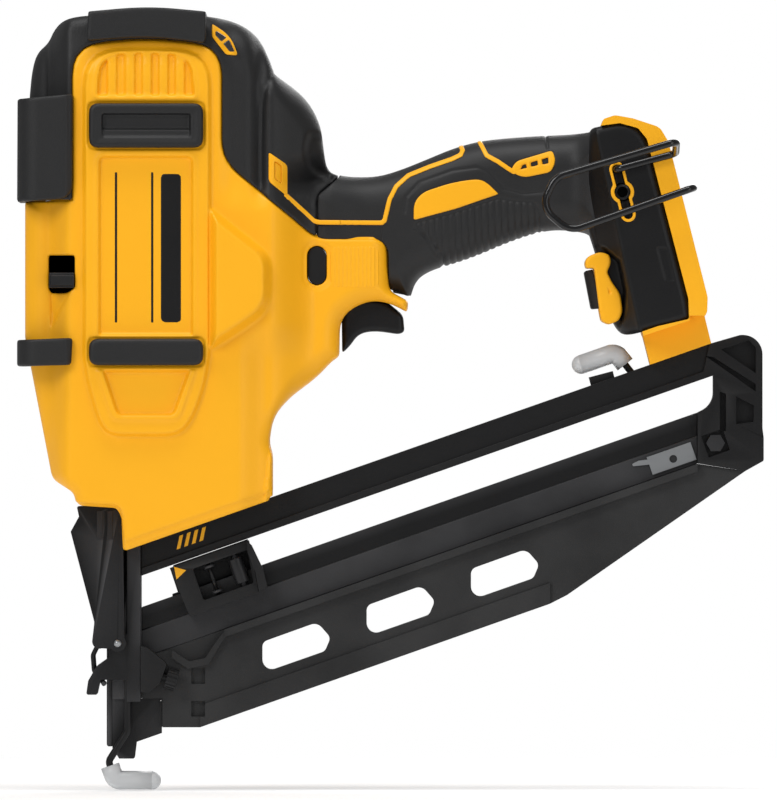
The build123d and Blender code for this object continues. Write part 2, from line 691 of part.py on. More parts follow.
def driver():
    x0, x1 = -11.0, FLYWHEEL_X - FLYWHEEL_R - 0.4
    carriage = block(x0, x1, -CARRIAGE_HALF, CARRIAGE_HALF, CARRIAGE_Z, CARRIAGE_Z + CARRIAGE_TALL)
    carriage = carriage + block(ROD_X - 4.5, ROD_X + 4.5, -ROD_Y - 3.5, ROD_Y + 3.5, EAR_Z0, EAR_Z1)
    for y in (-ROD_Y, ROD_Y):
        carriage = carriage - rod((ROD_X, y, 260), (ROD_X, y, 290), ROD_R + SHAFT_GAP)
    for y in (-3, 0, 3):
        carriage = carriage - slab([(x1 + 1, CARRIAGE_Z - 1), (x1 + 1, EAR_Z0 - 1),
            (x1 - 0.8, EAR_Z0 - 1), (x1 - 0.8, CARRIAGE_Z - 1)], y - 0.6, y + 0.6)
    seat = block(-BLADE_REACH, BLADE_REACH, -BLADE_HALF, BLADE_HALF, CARRIAGE_Z - 1, CARRIAGE_Z + 25)
    save("driver_carriage", carriage - seat)
    save("driver_blade", block(-BLADE_REACH, BLADE_REACH, -BLADE_HALF, BLADE_HALF, TIP_REST,
        CARRIAGE_Z + 25))
    springs = [corrugated(ROD_X, y, FRAME_Z1, EAR_Z0, SPRING_R, ROD_R + 0.3, 40) for y in (-ROD_Y, ROD_Y)]
    save("return_springs", *springs)
    rest = CARRIAGE_Z - STROKE - 0.5
    save("driver_bumpers", block(-11, -3, -8, 8, FRAME_Z1, rest), block(4, 16, -8, 8, FRAME_Z1, rest))


def flywheel():
    half, r = FLYWHEEL_HALF, FLYWHEEL_R
    ring = [(r - 6, -half), (r, -half)]
    for y in (-6, -3, 0, 3, 6):
        ring += [(r, y - 0.7), (r - 0.8, y), (r, y + 0.7)]
    ring += [(r, half), (SHAFT_R - 1, half), (SHAFT_R - 1, half - 2.5), (r - 6, half - 2.5)]
    wheel = revolve(Plane.XY * Polygon(*ring, align=None), Axis.Y)
    shaft = across(FLYWHEEL_X, FLYWHEEL_Z, SHAFT_R, -FRAME_IN - FRAME_THICK - 1, FRAME_IN + FRAME_THICK + 1)
    save("flywheel_rotor", Pos(FLYWHEEL_X, 0, FLYWHEEL_Z) * wheel + shaft)
    core = across(FLYWHEEL_X, FLYWHEEL_Z, r - 7, -half + 2, half - 4)
    post = across(FLYWHEEL_X, FLYWHEEL_Z, 6.5, -FRAME_IN, -half + 2)
    stator = core + post - across(FLYWHEEL_X, FLYWHEEL_Z, SHAFT_R + 1, -60, 60)
    for k in range(9):
        slot = Rot(0, 40 * k, 0) * block(13, 14.8, -half + 1, half - 3, -3.2, 3.2)
        stator = stator - Pos(FLYWHEEL_X, 0, FLYWHEEL_Z) * slot
    save("motor_stator", stator)
    bearings = []
    for side in (-1, 1):
        ends = sorted((side * FRAME_IN, side * (FRAME_IN + FRAME_THICK)))
        ring = across(FLYWHEEL_X, FLYWHEEL_Z, BEARING_R, *ends) - across(FLYWHEEL_X, FLYWHEEL_Z,
            SHAFT_R + SHAFT_GAP, *ends)
        bearings.append(ring)
    save("motor_bearings", *bearings)


ARM_X, ARM_Z = -21.0, 196.0
COIL_X = -32.2
ROLLER_R = 7.0
ROLLER_X, ROLLER_Z = -11.0 - ROLLER_R - 2.2, 215.0


def pinch():
    hub = across(ARM_X, ARM_Z, 5, -8, 8)
    cheek = slab([(ARM_X - 4.5, ARM_Z), (ARM_X + 4.5, ARM_Z), (ROLLER_X + 4, ROLLER_Z + 3, 2),
        (ROLLER_X - 4, ROLLER_Z + 3, 2)], -8, -6)
    input_bar = slab([(COIL_X - 3.5, 193, 2), (ARM_X, 192), (ARM_X, 200), (COIL_X - 3.5, 199, 2)], -4, 4)
    arm = hub + cheek + mirror(cheek, about=Plane.XZ) + input_bar - across(ARM_X, ARM_Z,
        PIN_R + SHAFT_GAP, -60, 60)
    arm = arm - across(ROLLER_X, ROLLER_Z, PIN_R + SHAFT_GAP, -60, 60)
    save("pinch_arm", arm)
    save("pinch_roller", across(ROLLER_X, ROLLER_Z, ROLLER_R, -5.5, 5.5) + across(ROLLER_X, ROLLER_Z,
        PIN_R, -8, 8))
    coil = block(COIL_X - 4, COIL_X + 4, -7, 7, 207, 240) + block(COIL_X - 1, COIL_X + 4, -FRAME_IN,
        FRAME_IN, 240, 243)
    coil = coil - rod((COIL_X, 0, 190), (COIL_X, 0, 230), 2.5 + SHAFT_GAP)
    save("solenoid", coil)
    plunger = rod((COIL_X, 0, 202), (COIL_X, 0, 226), 2.5) + rod((COIL_X, 0, 200.3), (COIL_X, 0, 202.5),
        3.6)
    save("solenoid_plunger", plunger)


def pivot_pins():
    pins = [across(TRIGGER_X, TRIGGER_Z, PIN_R, -TRIGGER_PIN_HALF, TRIGGER_PIN_HALF)]
    pins.append(across(ARM_X, ARM_Z, PIN_R, -FRAME_IN - FRAME_THICK, FRAME_IN + FRAME_THICK))
    pins.append(across(LATCH_X, LATCH_Z, LATCH_PIN_R, -LEVER_OUT - 0.6, LEVER_OUT + 0.6))
    save("pivot_pins", *pins)


def electronics():
    fx = FOOT_X
    module = [(fx + 5.2, 258), (fx + 12, 258), (fx + 23, 212), (fx + 16, 212)]
    save("control_module", slab(module, -18, 18))
    leads = []
    for y in (-5, 0, 5):
        route = [(fx + 5, y, 246), (150, y, 243), (118, y, 236), (90, y, 234), (72, y, 228)]
        leads.append(wire(route, [20, 20, 20], 1.3))
    save("wiring", *leads)


# ---- nose ----

def nose():
    high = block(-6, MAG_X0, -NOSE_HALF, NOSE_HALF, 37, FRAME_Z0)
    low = slab([(-6, 17, 1), (-3.2, NOSE_TIP), (3.2, NOSE_TIP, 1), (4, 19), (4, 37), (-6, 37)], -TIP_HALF,
        TIP_HALF)
    chin = slab([(3.5, 19.2), (14.3, 23), (14.3, 36.7, 2), (6, 37), (3.5, 37)], -TIP_HALF, TIP_HALF)
    body = high + low + chin
    for side in (-1, 1):
        ends = sorted((side * NOSE_HALF, side * PLATE_IN))
        body = body + block(TRIP_X + WIRE_R + 0.7, 5.6, *ends, 40, 99)
    reach = BLADE_REACH + SLIDE_GAP
    body = body - block(-reach, reach, -CHANNEL_HALF, CHANNEL_HALF, 0, 130)
    body = body - block(-reach, 40, -CHANNEL_HALF, CHANNEL_HALF, 0, 81)
    body = body - across(LATCH_X, LATCH_Z, LATCH_PIN_R, -60, 60)
    save("nose_guide", body)
    door = slab([(-8.3, 17.5, 1), (-6, 17.5), (-6, 100), (-8.3, 100, 1)], -3.2, 3.2)
    save("nose_front_plate", door)
    bar = [(0.1, 36), (5.6, 36), on_slope(5.6, RAIL_TOP), on_slope(0.1, RAIL_TOP)]
    arm = [(-7.2, 63.6, 2), (0.1, 63.6), (0.1, 44.9), (-10.8, 44.9, 1), (-12.1, 38.8, 0.8),
        (-16.6, 38.8, 0.8), (-15.8, 44.5),
           (-12.3, 50.6, 3), (-7.2, 54.2)]
    plate = slab(bar, -PLATE_IN - PLATE_THICK, -PLATE_IN) + slab(arm, -PLATE_IN - PLATE_THICK, -PLATE_IN)
    plate = plate - across(LATCH_X, LATCH_Z, LATCH_PIN_R, -60, 0)
    save("nose_plates", *both(plate))


def latch():
    side = [(-20.4, 116, 0.6), (-3.6, 116, 2.5), (-1.6, 113), (-0.9, 62), (-0.9, LATCH_Z),
        (LATCH_X, 57.5), (BAIL_X, 57.9),
            (-14.1, BAIL_Z, 1), (-13.2, 68.6), (-22.9, 105.6, 0.8), (-19.5, 111.8)]
    wall = [
        (-20.4, 116, 0.6), (-16.4, 116), (-15.9, 111.8), (-19.2, 105.8), (-9.9, 70), (-13.2, 68.6),
        (-22.9, 105.6, 0.8), (-19.5, 111.8),
    ]
    cheek = slab(side, -LEVER_OUT, -LEVER_IN)
    cheek = cheek + across(LATCH_X, LATCH_Z, 3.4, -LEVER_OUT, -LEVER_IN) + across(BAIL_X, BAIL_Z, 3.0,
        -LEVER_OUT, -LEVER_IN)
    for x0, x1 in [(-12.1, -9.8), (-7.8, -5.7)]:
        cheek = cheek + block(x0, x1, -LEVER_OUT - 0.5, -LEVER_OUT, 102.5, 114)
    web = slab([(-13.4, 69), (-10.2, 70), (-9.4, 61.5), (-13.3, 60)], -7.2, -4.2) + across(BAIL_X, BAIL_Z,
        2.4, -7.2, -4.2)
    lever = slab(wall, -LEVER_IN, LEVER_IN)
    for piece in both(cheek) + both(web):
        lever = lever + piece
    lever = lever - across(LATCH_X, LATCH_Z, LATCH_PIN_R + SHAFT_GAP, -60, 60)
    lever = lever - across(BAIL_X, BAIL_Z, BAIL_R + SHAFT_GAP, -12, 12)
    save("latch_lever", lever)
    half = [(BAIL_X, 0, BAIL_Z), (BAIL_X, -BAIL_Y, BAIL_Z), (-13.9, -BAIL_Y, 55), (-13.4, -BAIL_Y, 48.5),
        (-9.4, -BAIL_Y, 43.3),
            (-9.4, -PLATE_IN - PLATE_THICK - 0.6, 43.3)]
    save("latch_bail", sum_of(both(wire(half, [1.2, 3, 3, 1.2], BAIL_R))))


def sum_of(solids):
    total = solids[0]
    for solid in solids[1:]:
        total = total + solid
    return total


KNOB_TILT = 16.4          # degrees the depth wheel's axis drops towards the rear
KNOB_R = 4.7


def depth_adjuster():
    boss = slab([(5.7, 40), (9, 39.6), (13.6, 43.6, 2), (16.6, 51.6, 2), (9, 58, 3), (5.7, 59)], -16.4,
        -7.2)
    tilt = radians(-KNOB_TILT)
    axis = Vector(cos(tilt), 0, sin(tilt))
    start = Vector(10, -12, 47.7)
    end = start + axis * 7.2
    boss = boss - rod(tuple(start - axis * 0.5), tuple(start + axis * 14), 1.5 + SHAFT_GAP)
    boss = boss - rod(tuple(end - axis * 1.0), tuple(end + axis * 9), KNOB_R + 0.7)
    save("depth_housing", boss)
    knob_start = end - axis * 0.6
    knob_end = knob_start + axis * 4.4
    wheel = rod(tuple(start), tuple(knob_start), 1.5) + rod(tuple(knob_start), tuple(knob_end), KNOB_R)
    for k in range(18):
        groove = Rot(0, KNOB_TILT, 0) * (Rot(20 * k, 0, 0) * block(-0.5, 5, -0.35, 0.35, KNOB_R - 0.35, 6))
        wheel = wheel - Pos(*tuple(knob_start)) * groove
    save("depth_wheel", wheel)


def pad_path():
    """Centre line of a no-mar pad: a long leg along x and a short leg that leans back."""
    return [(10.2, 0, 0), (-4.8, 0, 0), (-6.85, 0, 6.0)]


def no_mar_pad():
    """Pad about its own corner, with a blind bore from the short leg."""
    points = pad_path()
    outer = wire(points, [3.4], PAD_R)
    nose_end = Pos(10.2, 0, 0) * Sphere(PAD_R - 0.05)
    bore_path = [(6.0, 0, 0), points[1], (points[2][0] - 0.342, 0, points[2][2] + 1.0)]
    return (outer + nose_end) - wire(bore_path, [3.4], WIRE_R + 0.02)


def contact_trip():
    pad = Pos(0, TRIP_Y, PAD_Z) * no_mar_pad()
    pad = pad - block(-30, 30, -30, 30, -10, 0)
    save("no_mar_pad", pad)
    points = [
        (6.0, TRIP_Y, PAD_Z), (-4.8, TRIP_Y, PAD_Z), (-7.45, TRIP_Y, PAD_Z + 7.75), (TRIP_X, TRIP_Y, 24),
        (TRIP_X, TRIP_Y, 131),
    ]
    rodwire = wire(points, [3.4, 3, 5], WIRE_R)
    save("contact_wire", rodwire + rod((TRIP_X, TRIP_Y, 131), (TRIP_X, TRIP_Y, 133), 2.1))
    save("trip_spring", corrugated(TRIP_X, TRIP_Y, 133, 158, 2.1, 1.3, 9))


def spare_place():
    """Where the spare pad lies: upside down over the rail, leaning with it."""
    x, z = along(FOOT_X + 4.9, RAIL_TOP, 0, 9.4)
    return Pos(x, 0, z) * Rot(0, 180 - SLOPE, 0)


def spare_pad():
    save("spare_pad", spare_place() * no_mar_pad())


def spare_post():
    """Lug moulded on the rail, with the peg that carries the spare pad."""
    corner, mouth = Vector(*pad_path()[1]), Vector(*pad_path()[2])
    lean = (mouth - corner).normalized()
    peg = spare_place() * rod(tuple(mouth - lean * 2.6), tuple(mouth + lean * 6), WIRE_R - 0.03)
    x0 = FOOT_X - 3.6
    lug = slab([on_slope(x0, RAIL_TOP - 1), on_slope(x0 + 9.6, RAIL_TOP - 1),
        along(x0 + 9.6, RAIL_TOP, 0, 2.6), along(x0, RAIL_TOP, 0, 3.4)], -4, 4)
    above = slab([on_slope(x0 - 30, RAIL_TOP - 1), on_slope(x0 + 60, RAIL_TOP - 1), (x0 + 60, 230),
        (x0 - 30, 230)], -9, 9)
    return lug + (peg & above)


# ---- magazine ----

def magazine_frame():
    inner_x = REAR_X - 20.2
    outline = [
        on_slope(MAG_X0, RAIL_LOW), on_slope(inner_x, RAIL_LOW),
        (inner_x, on_slope(inner_x, TRACK_TOP)[1] + 1, 8),
        on_slope(TRACK_END, TRACK_TOP), on_slope(TRACK_END, TRACK_BASE), (REAR_X - 7, 130.4),
        (REAR_X + 0.5, 134.6, 1), (REAR_X + 0.5, 144, 2),
        (REAR_X, 148), (REAR_X, 186, 8), (REAR_X - 9, 186.2, 5), on_slope(REAR_X - 21, RAIL_TOP),
        on_slope(MAG_X0, RAIL_TOP),
    ]
    frame = slab(outline, -RAIL_HALF - 1.5, RAIL_HALF + 1.5) + spare_post()
    rail_side = [
        on_slope(0, RAIL_LIP), on_slope(inner_x - 4, RAIL_LIP), on_slope(inner_x - 1, RAIL_TOP + 2),
        on_slope(0, RAIL_TOP + 2),
    ]
    ribs = [
        [(REAR_X - 17, 180.2), (REAR_X - 5.5, 184), (REAR_X - 2.8, 181), (REAR_X - 2.8, 170.5)],
        [(REAR_X - 23.3, 177.5), (REAR_X - 20.2, 177.1), (REAR_X - 2.8, 166), (REAR_X - 2.8, 163)],
        [(REAR_X - 10.8, 161), (REAR_X - 3.6, 157.3), (REAR_X - 3.6, 150.5), (REAR_X - 10.8, 149.6)],
        [(REAR_X - 17.5, 163), (REAR_X - 15, 162), (REAR_X - 15, 147), (REAR_X - 17.5, 146)],
    ]
    for side in both(slab(rail_side, -30, -RAIL_HALF)):
        frame = frame - side
    for pocket in ribs:
        for side in both(slab(pocket, -30, -RAIL_HALF + 3)):
            frame = frame - side
    corners = ((-4.6, -4.6), (4.6, -4.6), (4.6, 4.6), (-4.6, 4.6))
    box = [along(REAR_X - 19.2, 42.5, dx, dz) for dx, dz in corners]
    for side in both(slab(box, -30, -RAIL_HALF + 2)):
        frame = frame - side
    bolt_x, bolt_z = on_slope(REAR_X - 19.2, 42.5)
    frame = frame - across(bolt_x, bolt_z, BOLT_R, -60, 60)
    channel = [
        on_slope(inner_x - 30, 8), on_slope(inner_x - 1, 8), on_slope(inner_x - 1, 62),
        on_slope(inner_x - 30, 62),
    ]
    frame = frame - slab(channel, -TRACK_LOW, TRACK_LOW)
    save("magazine_frame", frame)
    head = RegularPolygon(HEX_R, 6)
    hexes = []
    for y in (-RAIL_HALF + 2, RAIL_HALF + 1):
        hexes.append(extrude(Plane((bolt_x, y, bolt_z), x_dir=(1, 0, 0), z_dir=(0, -1, 0)) * head, 3))
    bolt = across(bolt_x, bolt_z, BOLT_R, -RAIL_HALF + 2, RAIL_HALF + 1)
    nut = hexes[1] - across(bolt_x, bolt_z, BOLT_R, -60, 60)
    save("rear_bolt", bolt + hexes[0], nut)


SLOT_X = (55.5, 98.25, 141.0)   # front ends of the three windows in each wall


def magazine_walls():
    outline = [
        (14.6, 25.4), (30, 25.4), on_slope(REAR_X - 87, 0.4), (REAR_X - 80, 79.6), (REAR_X - 7, 130.4),
        on_slope(TRACK_END, TRACK_BASE - 0.1),
        on_slope(MAG_X0, TRACK_BASE - 0.1), (MAG_X0, 37.3), (14.6, 37.3),
    ]
    skirt = [
        (14.6, 25.4), (30, 25.4), on_slope(REAR_X - 87, 0.4), (REAR_X - 80, 79.6), (REAR_X - 7, 130.4),
        on_slope(TRACK_END, TRACK_BASE - 0.1),
        on_slope(39.8, TRACK_BASE - 0.1), (36, 59.6, 3), (32.2, 53.8, 2), (25.5, 52.4, 3),
        (18.5, 57.2, 2), (MAG_X0, 54.5), (MAG_X0, 37.3), (14.6, 37.3),
    ]
    wall = slab(outline, -TRACK_LOW, -TRACK_IN) + slab(skirt, -MAG_WALL_OUT, -TRACK_LOW)
    flange = [
        on_slope(40, TRACK_BASE - 3.2), on_slope(TRACK_END, TRACK_BASE - 3.2),
        on_slope(TRACK_END, TRACK_BASE - 0.1), on_slope(40, TRACK_BASE - 0.1),
    ]
    foot = [(30, 25.4), on_slope(REAR_X - 87, 0.4), on_slope(REAR_X - 87, 9), on_slope(30, 9)]
    wave = [
        (18.5, 57.2), (25.5, 52.4), (32.2, 53.8), (36, 59.6), (40.5, 65.6), (40.5, 62.5), (37.6, 58.2),
        (33.5, 51.2), (25, 49.4), (18.5, 53.8),
    ]
    for raised, out in ((flange, 10.5), (foot, 8.4), (wave, 9.5)):
        wall = wall + slab(raised, -out, -TRACK_LOW)
    for x in SLOT_X:
        hole = [
            on_slope(x, 26) + (3,), on_slope(x + 22.5, 26.2) + (4,), on_slope(x + 28, 18) + (3,),
            on_slope(x + 25.6, 13.2) + (3,), on_slope(x, 13.2) + (4,),
        ]
        wall = wall - slab(hole, -60, 0)
    for z0, z1 in ((43.2, 49.8), (29.8, 36.2)):
        wall = wall - block(26.4, 32.1, -60, -TRACK_LOW, z0, z1)
    far = mirror(wall, about=Plane.XZ)
    floor = [(30, 25.4), on_slope(REAR_X - 90, 0.4), on_slope(REAR_X - 90, 4), on_slope(30, 5)]
    wall = wall + slab(floor, -TRACK_IN, 0)
    far = far + slab(floor, 0, TRACK_IN)
    save("magazine_wall_left", wall)
    save("magazine_wall_right", far)
    track = [
        on_slope(MAG_X0, TRACK_BASE), on_slope(TRACK_END, TRACK_BASE), on_slope(TRACK_END, TRACK_STEP),
        on_slope(MAG_X0, TRACK_STEP),
    ]
    ledge = [
        on_slope(MAG_X0, TRACK_STEP), on_slope(TRACK_END, TRACK_STEP), on_slope(TRACK_END, TRACK_TOP),
        on_slope(MAG_X0, TRACK_TOP),
    ]
    rail = slab(track, -TRACK_LOW, -TRACK_IN) + slab(ledge, -TRACK_HIGH, -TRACK_IN)
    save("nail_track", *both(rail))
    centre = REAR_X - 37.2
    plate = [along(centre, 42.5, dx, dz) for dx, dz in ((-9.5, -3.8), (9.5, -3.8), (9.5, 3.8), (-9.5, 3.8))]
    lip = ((-9.4, 0.6), (-9.4, 2.8), (-13, 3.6), (-16, 3.2), (-16, 2.2))
    tongue = [along(centre, 42.5, dx, dz) + (0.4,) for dx, dz in lip]
    stop = slab(plate, -TRACK_LOW - 1, -TRACK_LOW) + slab(tongue, -TRACK_LOW - 1, -TRACK_LOW)
    hx, hz = along(centre, 42.5, 0.6, -0.4)
    save("stop_plate", stop - across(hx, hz, 1.6, -60, 0))


PUSHER_X0 = 17.6
AXLE_X = 35.6
REEL_X = 46.2
AXLE_R = 0.9
REEL_R = 3.0


def pusher():
    top = RAIL_LOW - 0.9
    low = 47.0
    lean = 8.2
    inner = TRACK_LOW + SLIDE_GAP
    frame = [
        on_slope(PUSHER_X0, top), on_slope(PUSHER_X0 + lean, low), on_slope(54, low), on_slope(50, top),
    ]
    window = [
        on_slope(27, 66) + (0.8,), on_slope(31.5, 51.5) + (0.8,), on_slope(52, 51.5) + (0.8,),
        on_slope(49.4, 66) + (0.8,),
    ]
    near = slab(frame, -PUSHER_OUT, -inner) - slab(window, -60, 0)
    fin = [
        on_slope(49, top + 0.3), along(52.2, 64, 0, 3), on_slope(55.8, 56), on_slope(57.6, low + 1),
        on_slope(54.2, low), on_slope(52.6, 56), on_slope(49.6, 64.5),
    ]
    near = near + slab(fin, -PUSHER_OUT - 3, -inner)
    far = slab(frame, inner, inner + 2.2)
    bridge = [
        on_slope(PUSHER_X0, top), on_slope(PUSHER_X0 + 3.4, TRACK_TOP + 0.5),
        on_slope(52.5, TRACK_TOP + 0.5), on_slope(50, top),
    ]
    window_top = [
        on_slope(28, TRACK_TOP - 2), on_slope(52, TRACK_TOP - 2), on_slope(49.5, top - 3),
        on_slope(27, top - 3),
    ]
    middle = slab(bridge, -inner, inner) - slab(window_top, -inner, inner - 2)
    blade = [
        on_slope(PUSHER_X0 + 1, TRACK_TOP + 1), on_slope(PUSHER_X0 + 5, TRACK_TOP + 1),
        on_slope(PUSHER_X0 + 5, 13), on_slope(PUSHER_X0 + 1, 13),
    ]
    body = near + far + middle + slab(blade, -BLADE_HALF, BLADE_HALF)
    y_mid = -(PUSHER_OUT + inner) / 2
    axle = rod_on_slope(AXLE_X, y_mid, 50.5, 67, AXLE_R)
    reel_axle = rod_on_slope(REEL_X, y_mid, 50.5, 67, AXLE_R)
    body = body - axle - reel_axle
    save("nail_pusher", body)
    flanges = rod_on_slope(AXLE_X, y_mid, 52.6, 53.8, 2.2) + rod_on_slope(AXLE_X, y_mid, 64.0, 65.2, 2.2)
    save("pusher_axles", axle + flanges, reel_axle)
    reel = rod_on_slope(REEL_X, y_mid, 53.2, 64.2, REEL_R)
    reel = reel - rod_on_slope(REEL_X, y_mid, 53.0, 64.6, AXLE_R + SHAFT_GAP)
    save("tape_spring_reel", reel)


def rod_on_slope(x, y, h0, h1, r):
    """Round bar square to the magazine's slope, between two heights over it."""
    c, s = cos(radians(SLOPE)), sin(radians(SLOPE))
    px, pz = on_slope(x, 58)
    a, b = (h0 - 58) * c, (h1 - 58) * c
    return rod((px - a * s, y, pz + a * c), (px - b * s, y, pz + b * c), r)


shells()
grip()
foot()
dock()
side_pads()
bumpers()
save("shell_screws", *shell_screws())
trigger_group()
stall_release()
selector()
belt_hook()
drive_frame()
driver()
flywheel()
pinch()
electronics()
nose()
latch()
depth_adjuster()
pivot_pins()
contact_trip()
spare_pad()
magazine_frame()
magazine_walls()
pusher()
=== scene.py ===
import json
from itertools import product
from math import cos, pi, radians, sin, tan

import bmesh
import bpy
import numpy as np
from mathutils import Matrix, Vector


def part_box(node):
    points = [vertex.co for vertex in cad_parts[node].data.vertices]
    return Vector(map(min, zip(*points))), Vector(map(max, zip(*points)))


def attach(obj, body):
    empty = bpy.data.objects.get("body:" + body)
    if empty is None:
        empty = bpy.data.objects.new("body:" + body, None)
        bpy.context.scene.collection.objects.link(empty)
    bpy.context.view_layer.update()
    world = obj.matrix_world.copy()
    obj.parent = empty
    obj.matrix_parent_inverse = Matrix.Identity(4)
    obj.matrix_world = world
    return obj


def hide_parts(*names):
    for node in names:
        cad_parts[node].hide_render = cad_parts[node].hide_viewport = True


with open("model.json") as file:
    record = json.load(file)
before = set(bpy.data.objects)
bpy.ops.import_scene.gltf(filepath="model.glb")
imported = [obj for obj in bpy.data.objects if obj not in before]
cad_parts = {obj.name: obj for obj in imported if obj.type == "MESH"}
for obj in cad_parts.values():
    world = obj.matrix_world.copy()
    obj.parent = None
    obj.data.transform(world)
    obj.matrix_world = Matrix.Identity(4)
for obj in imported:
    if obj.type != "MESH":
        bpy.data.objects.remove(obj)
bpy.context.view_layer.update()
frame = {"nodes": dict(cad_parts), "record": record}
MM = 0.001
FAR_OFF = 1e9          # start value of a nearest distance


# ---- driving sizes, in millimetres, read from the frame ----

def low(node):
    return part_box(node)[0] / MM


def high(node):
    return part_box(node)[1] / MM


SLOPE = tan(radians(19.3))      # the magazine's slope
MAG_Z0 = 14.9                   # height of its lower edge at x = 0
RAIL_TOP = 84.0                 # top rail over that edge
FOOT_X = low("battery_dock").x - 0.1
DOCK_TILT = radians(14.2)
COVER_RISE = 4.0                # flywheel cover over the side of the body
PANEL_RISE = 2.8                # raised side panel over the body round it
BULGE_HALF = high("housing_right").y
BODY_HALF = BULGE_HALF - COVER_RISE
GRIP_HALF = high("grip_right").y
FOOT_HALF = high("battery_dock").y
PAD_FACE = high("side_pads").y
WRAP_HALF = high("bumper_top").y
BODY_LEFT = low("housing_left").x
BODY_TOP = high("cover_left").z


def slope_z(x, height):
    return MAG_Z0 + x * SLOPE + height


# ---- fields: distances in millimetres, negative inside ----

def curved(points):
    """Outline whose corners (x, z, size) are rounded; a corner without a size stays sharp."""
    out, n = [], len(points)
    for i, p in enumerate(points):
        here = np.array(p[:2], float)
        cut = p[2] if len(p) > 2 else 0
        if not cut:
            out.append(tuple(here))
            continue
        before = np.array(points[i - 1][:2], float)
        after = np.array(points[(i + 1) % n][:2], float)
        a = here + (before - here) * min(0.49, cut / np.linalg.norm(before - here))
        b = here + (after - here) * min(0.49, cut / np.linalg.norm(after - here))
        for t in np.linspace(0, 1, 6):
            out.append(tuple((1 - t) ** 2 * a + 2 * t * (1 - t) * here + t * t * b))
    return out


def inside(points, x, z):
    """Signed distance from an outline in x and z."""
    corners = curved(points)
    nearest = np.full(np.broadcast(x, z).shape, FAR_OFF)
    flips = np.zeros(nearest.shape, bool)
    for (ax, az), (bx, bz) in zip(corners, corners[1:] + corners[:1]):
        ex, ez = bx - ax, bz - az
        if ex == 0 and ez == 0:
            continue
        wx, wz = x - ax, z - az
        t = np.clip((wx * ex + wz * ez) / (ex * ex + ez * ez), 0, 1)
        nearest = np.minimum(nearest, (wx - t * ex) ** 2 + (wz - t * ez) ** 2)
        if ez:
            flips ^= ((az <= z) != (bz <= z)) & (x < ax + (z - az) * ex / ez)
    return np.where(flips, -1, 1) * np.sqrt(nearest)


def from_line(points, x, z):
    """Distance from an open line."""
    nearest = np.full(np.broadcast(x, z).shape, FAR_OFF)
    for (ax, az), (bx, bz) in zip(points, points[1:]):
        ex, ez = bx - ax, bz - az
        wx, wz = x - ax, z - az
        t = np.clip((wx * ex + wz * ez) / (ex * ex + ez * ez), 0, 1)
        nearest = np.minimum(nearest, (wx - t * ex) ** 2 + (wz - t * ez) ** 2)
    return np.sqrt(nearest)


def step(t):
    """Smooth step from 0 to 1."""
    t = np.clip(t, 0, 1)
    return t * t * (3 - 2 * t)


def within(distance, edge):
    """1 inside an outline, 0 outside, with a slope of that width inside the line."""
    return step(-distance / edge)


def ridge(distance, width):
    """1 on a line, falling to 0 to both sides of it."""
    return np.exp(-(distance / width) ** 2)


def waves(along, pitch):
    """Row of ribs from 0 to 1."""
    return 0.5 + 0.5 * np.cos(along * 2 * pi / pitch)


def rectangle(x0, z0, x1, z1, *size):
    return [(x0, z0, *size), (x1, z0, *size), (x1, z1, *size), (x0, z1, *size)]


def both_in(a, b, r):
    """Where two shapes overlap, with the edge between them rounded."""
    u, v = np.maximum(a + r, 0), np.maximum(b + r, 0)
    return np.minimum(np.maximum(a, b) + r, 0) + np.sqrt(u * u + v * v) - r


# ---- meshing a field ----

def surface_net(values):
    """Quads through the zero surface of a field on a grid, in grid units."""
    filled = values < 0
    size = np.array(values.shape) - 1
    count = np.zeros(size, np.int8)
    for i, j, k in product((0, 1), repeat=3):
        count += filled[i:size[0] + i, j:size[1] + j, k:size[2] + k]
    active = (count > 0) & (count < 8)
    cell = np.argwhere(active)
    number = np.full(size, -1, np.int64)
    number[active] = np.arange(len(cell))
    total, hits = np.zeros((len(cell), 3)), np.zeros(len(cell))
    for axis in range(3):
        for o1, o2 in product((0, 1), repeat=2):
            offset = np.zeros(3, int)
            offset[(axis + 1) % 3], offset[(axis + 2) % 3] = o1, o2
            start = cell + offset
            end = start.copy()
            end[:, axis] += 1
            v0, v1 = values[tuple(start.T)], values[tuple(end.T)]
            crosses = (v0 < 0) != (v1 < 0)
            t = np.where(crosses, v0 / np.where(crosses, v0 - v1, 1), 0)
            point = np.tile(offset.astype(float), (len(cell), 1))
            point[:, axis] += t
            total[crosses] += point[crosses]
            hits[crosses] += 1
    verts = cell + total / hits[:, None]
    faces = []
    for axis in range(3):
        a1, a2 = (axis + 1) % 3, (axis + 2) % 3
        lower = [slice(None)] * 3
        upper = [slice(None)] * 3
        lower[axis], upper[axis] = slice(0, -1), slice(1, None)
        change = filled[tuple(lower)] != filled[tuple(upper)]
        at = np.argwhere(change)
        at = at[(at[:, a1] > 0) & (at[:, a2] > 0) & (at[:, a1] < size[a1]) & (at[:, a2] < size[a2])]
        ring = []
        for d1, d2 in ((0, 0), (-1, 0), (-1, -1), (0, -1)):
            near = at.copy()
            near[:, a1] += d1
            near[:, a2] += d2
            ring.append(number[tuple(near.T)])
        quad = np.stack(ring, 1)
        flip = filled[tuple(at.T)]
        quad[~flip] = quad[~flip][:, ::-1]
        faces.append(quad)
    return verts, np.concatenate(faces)


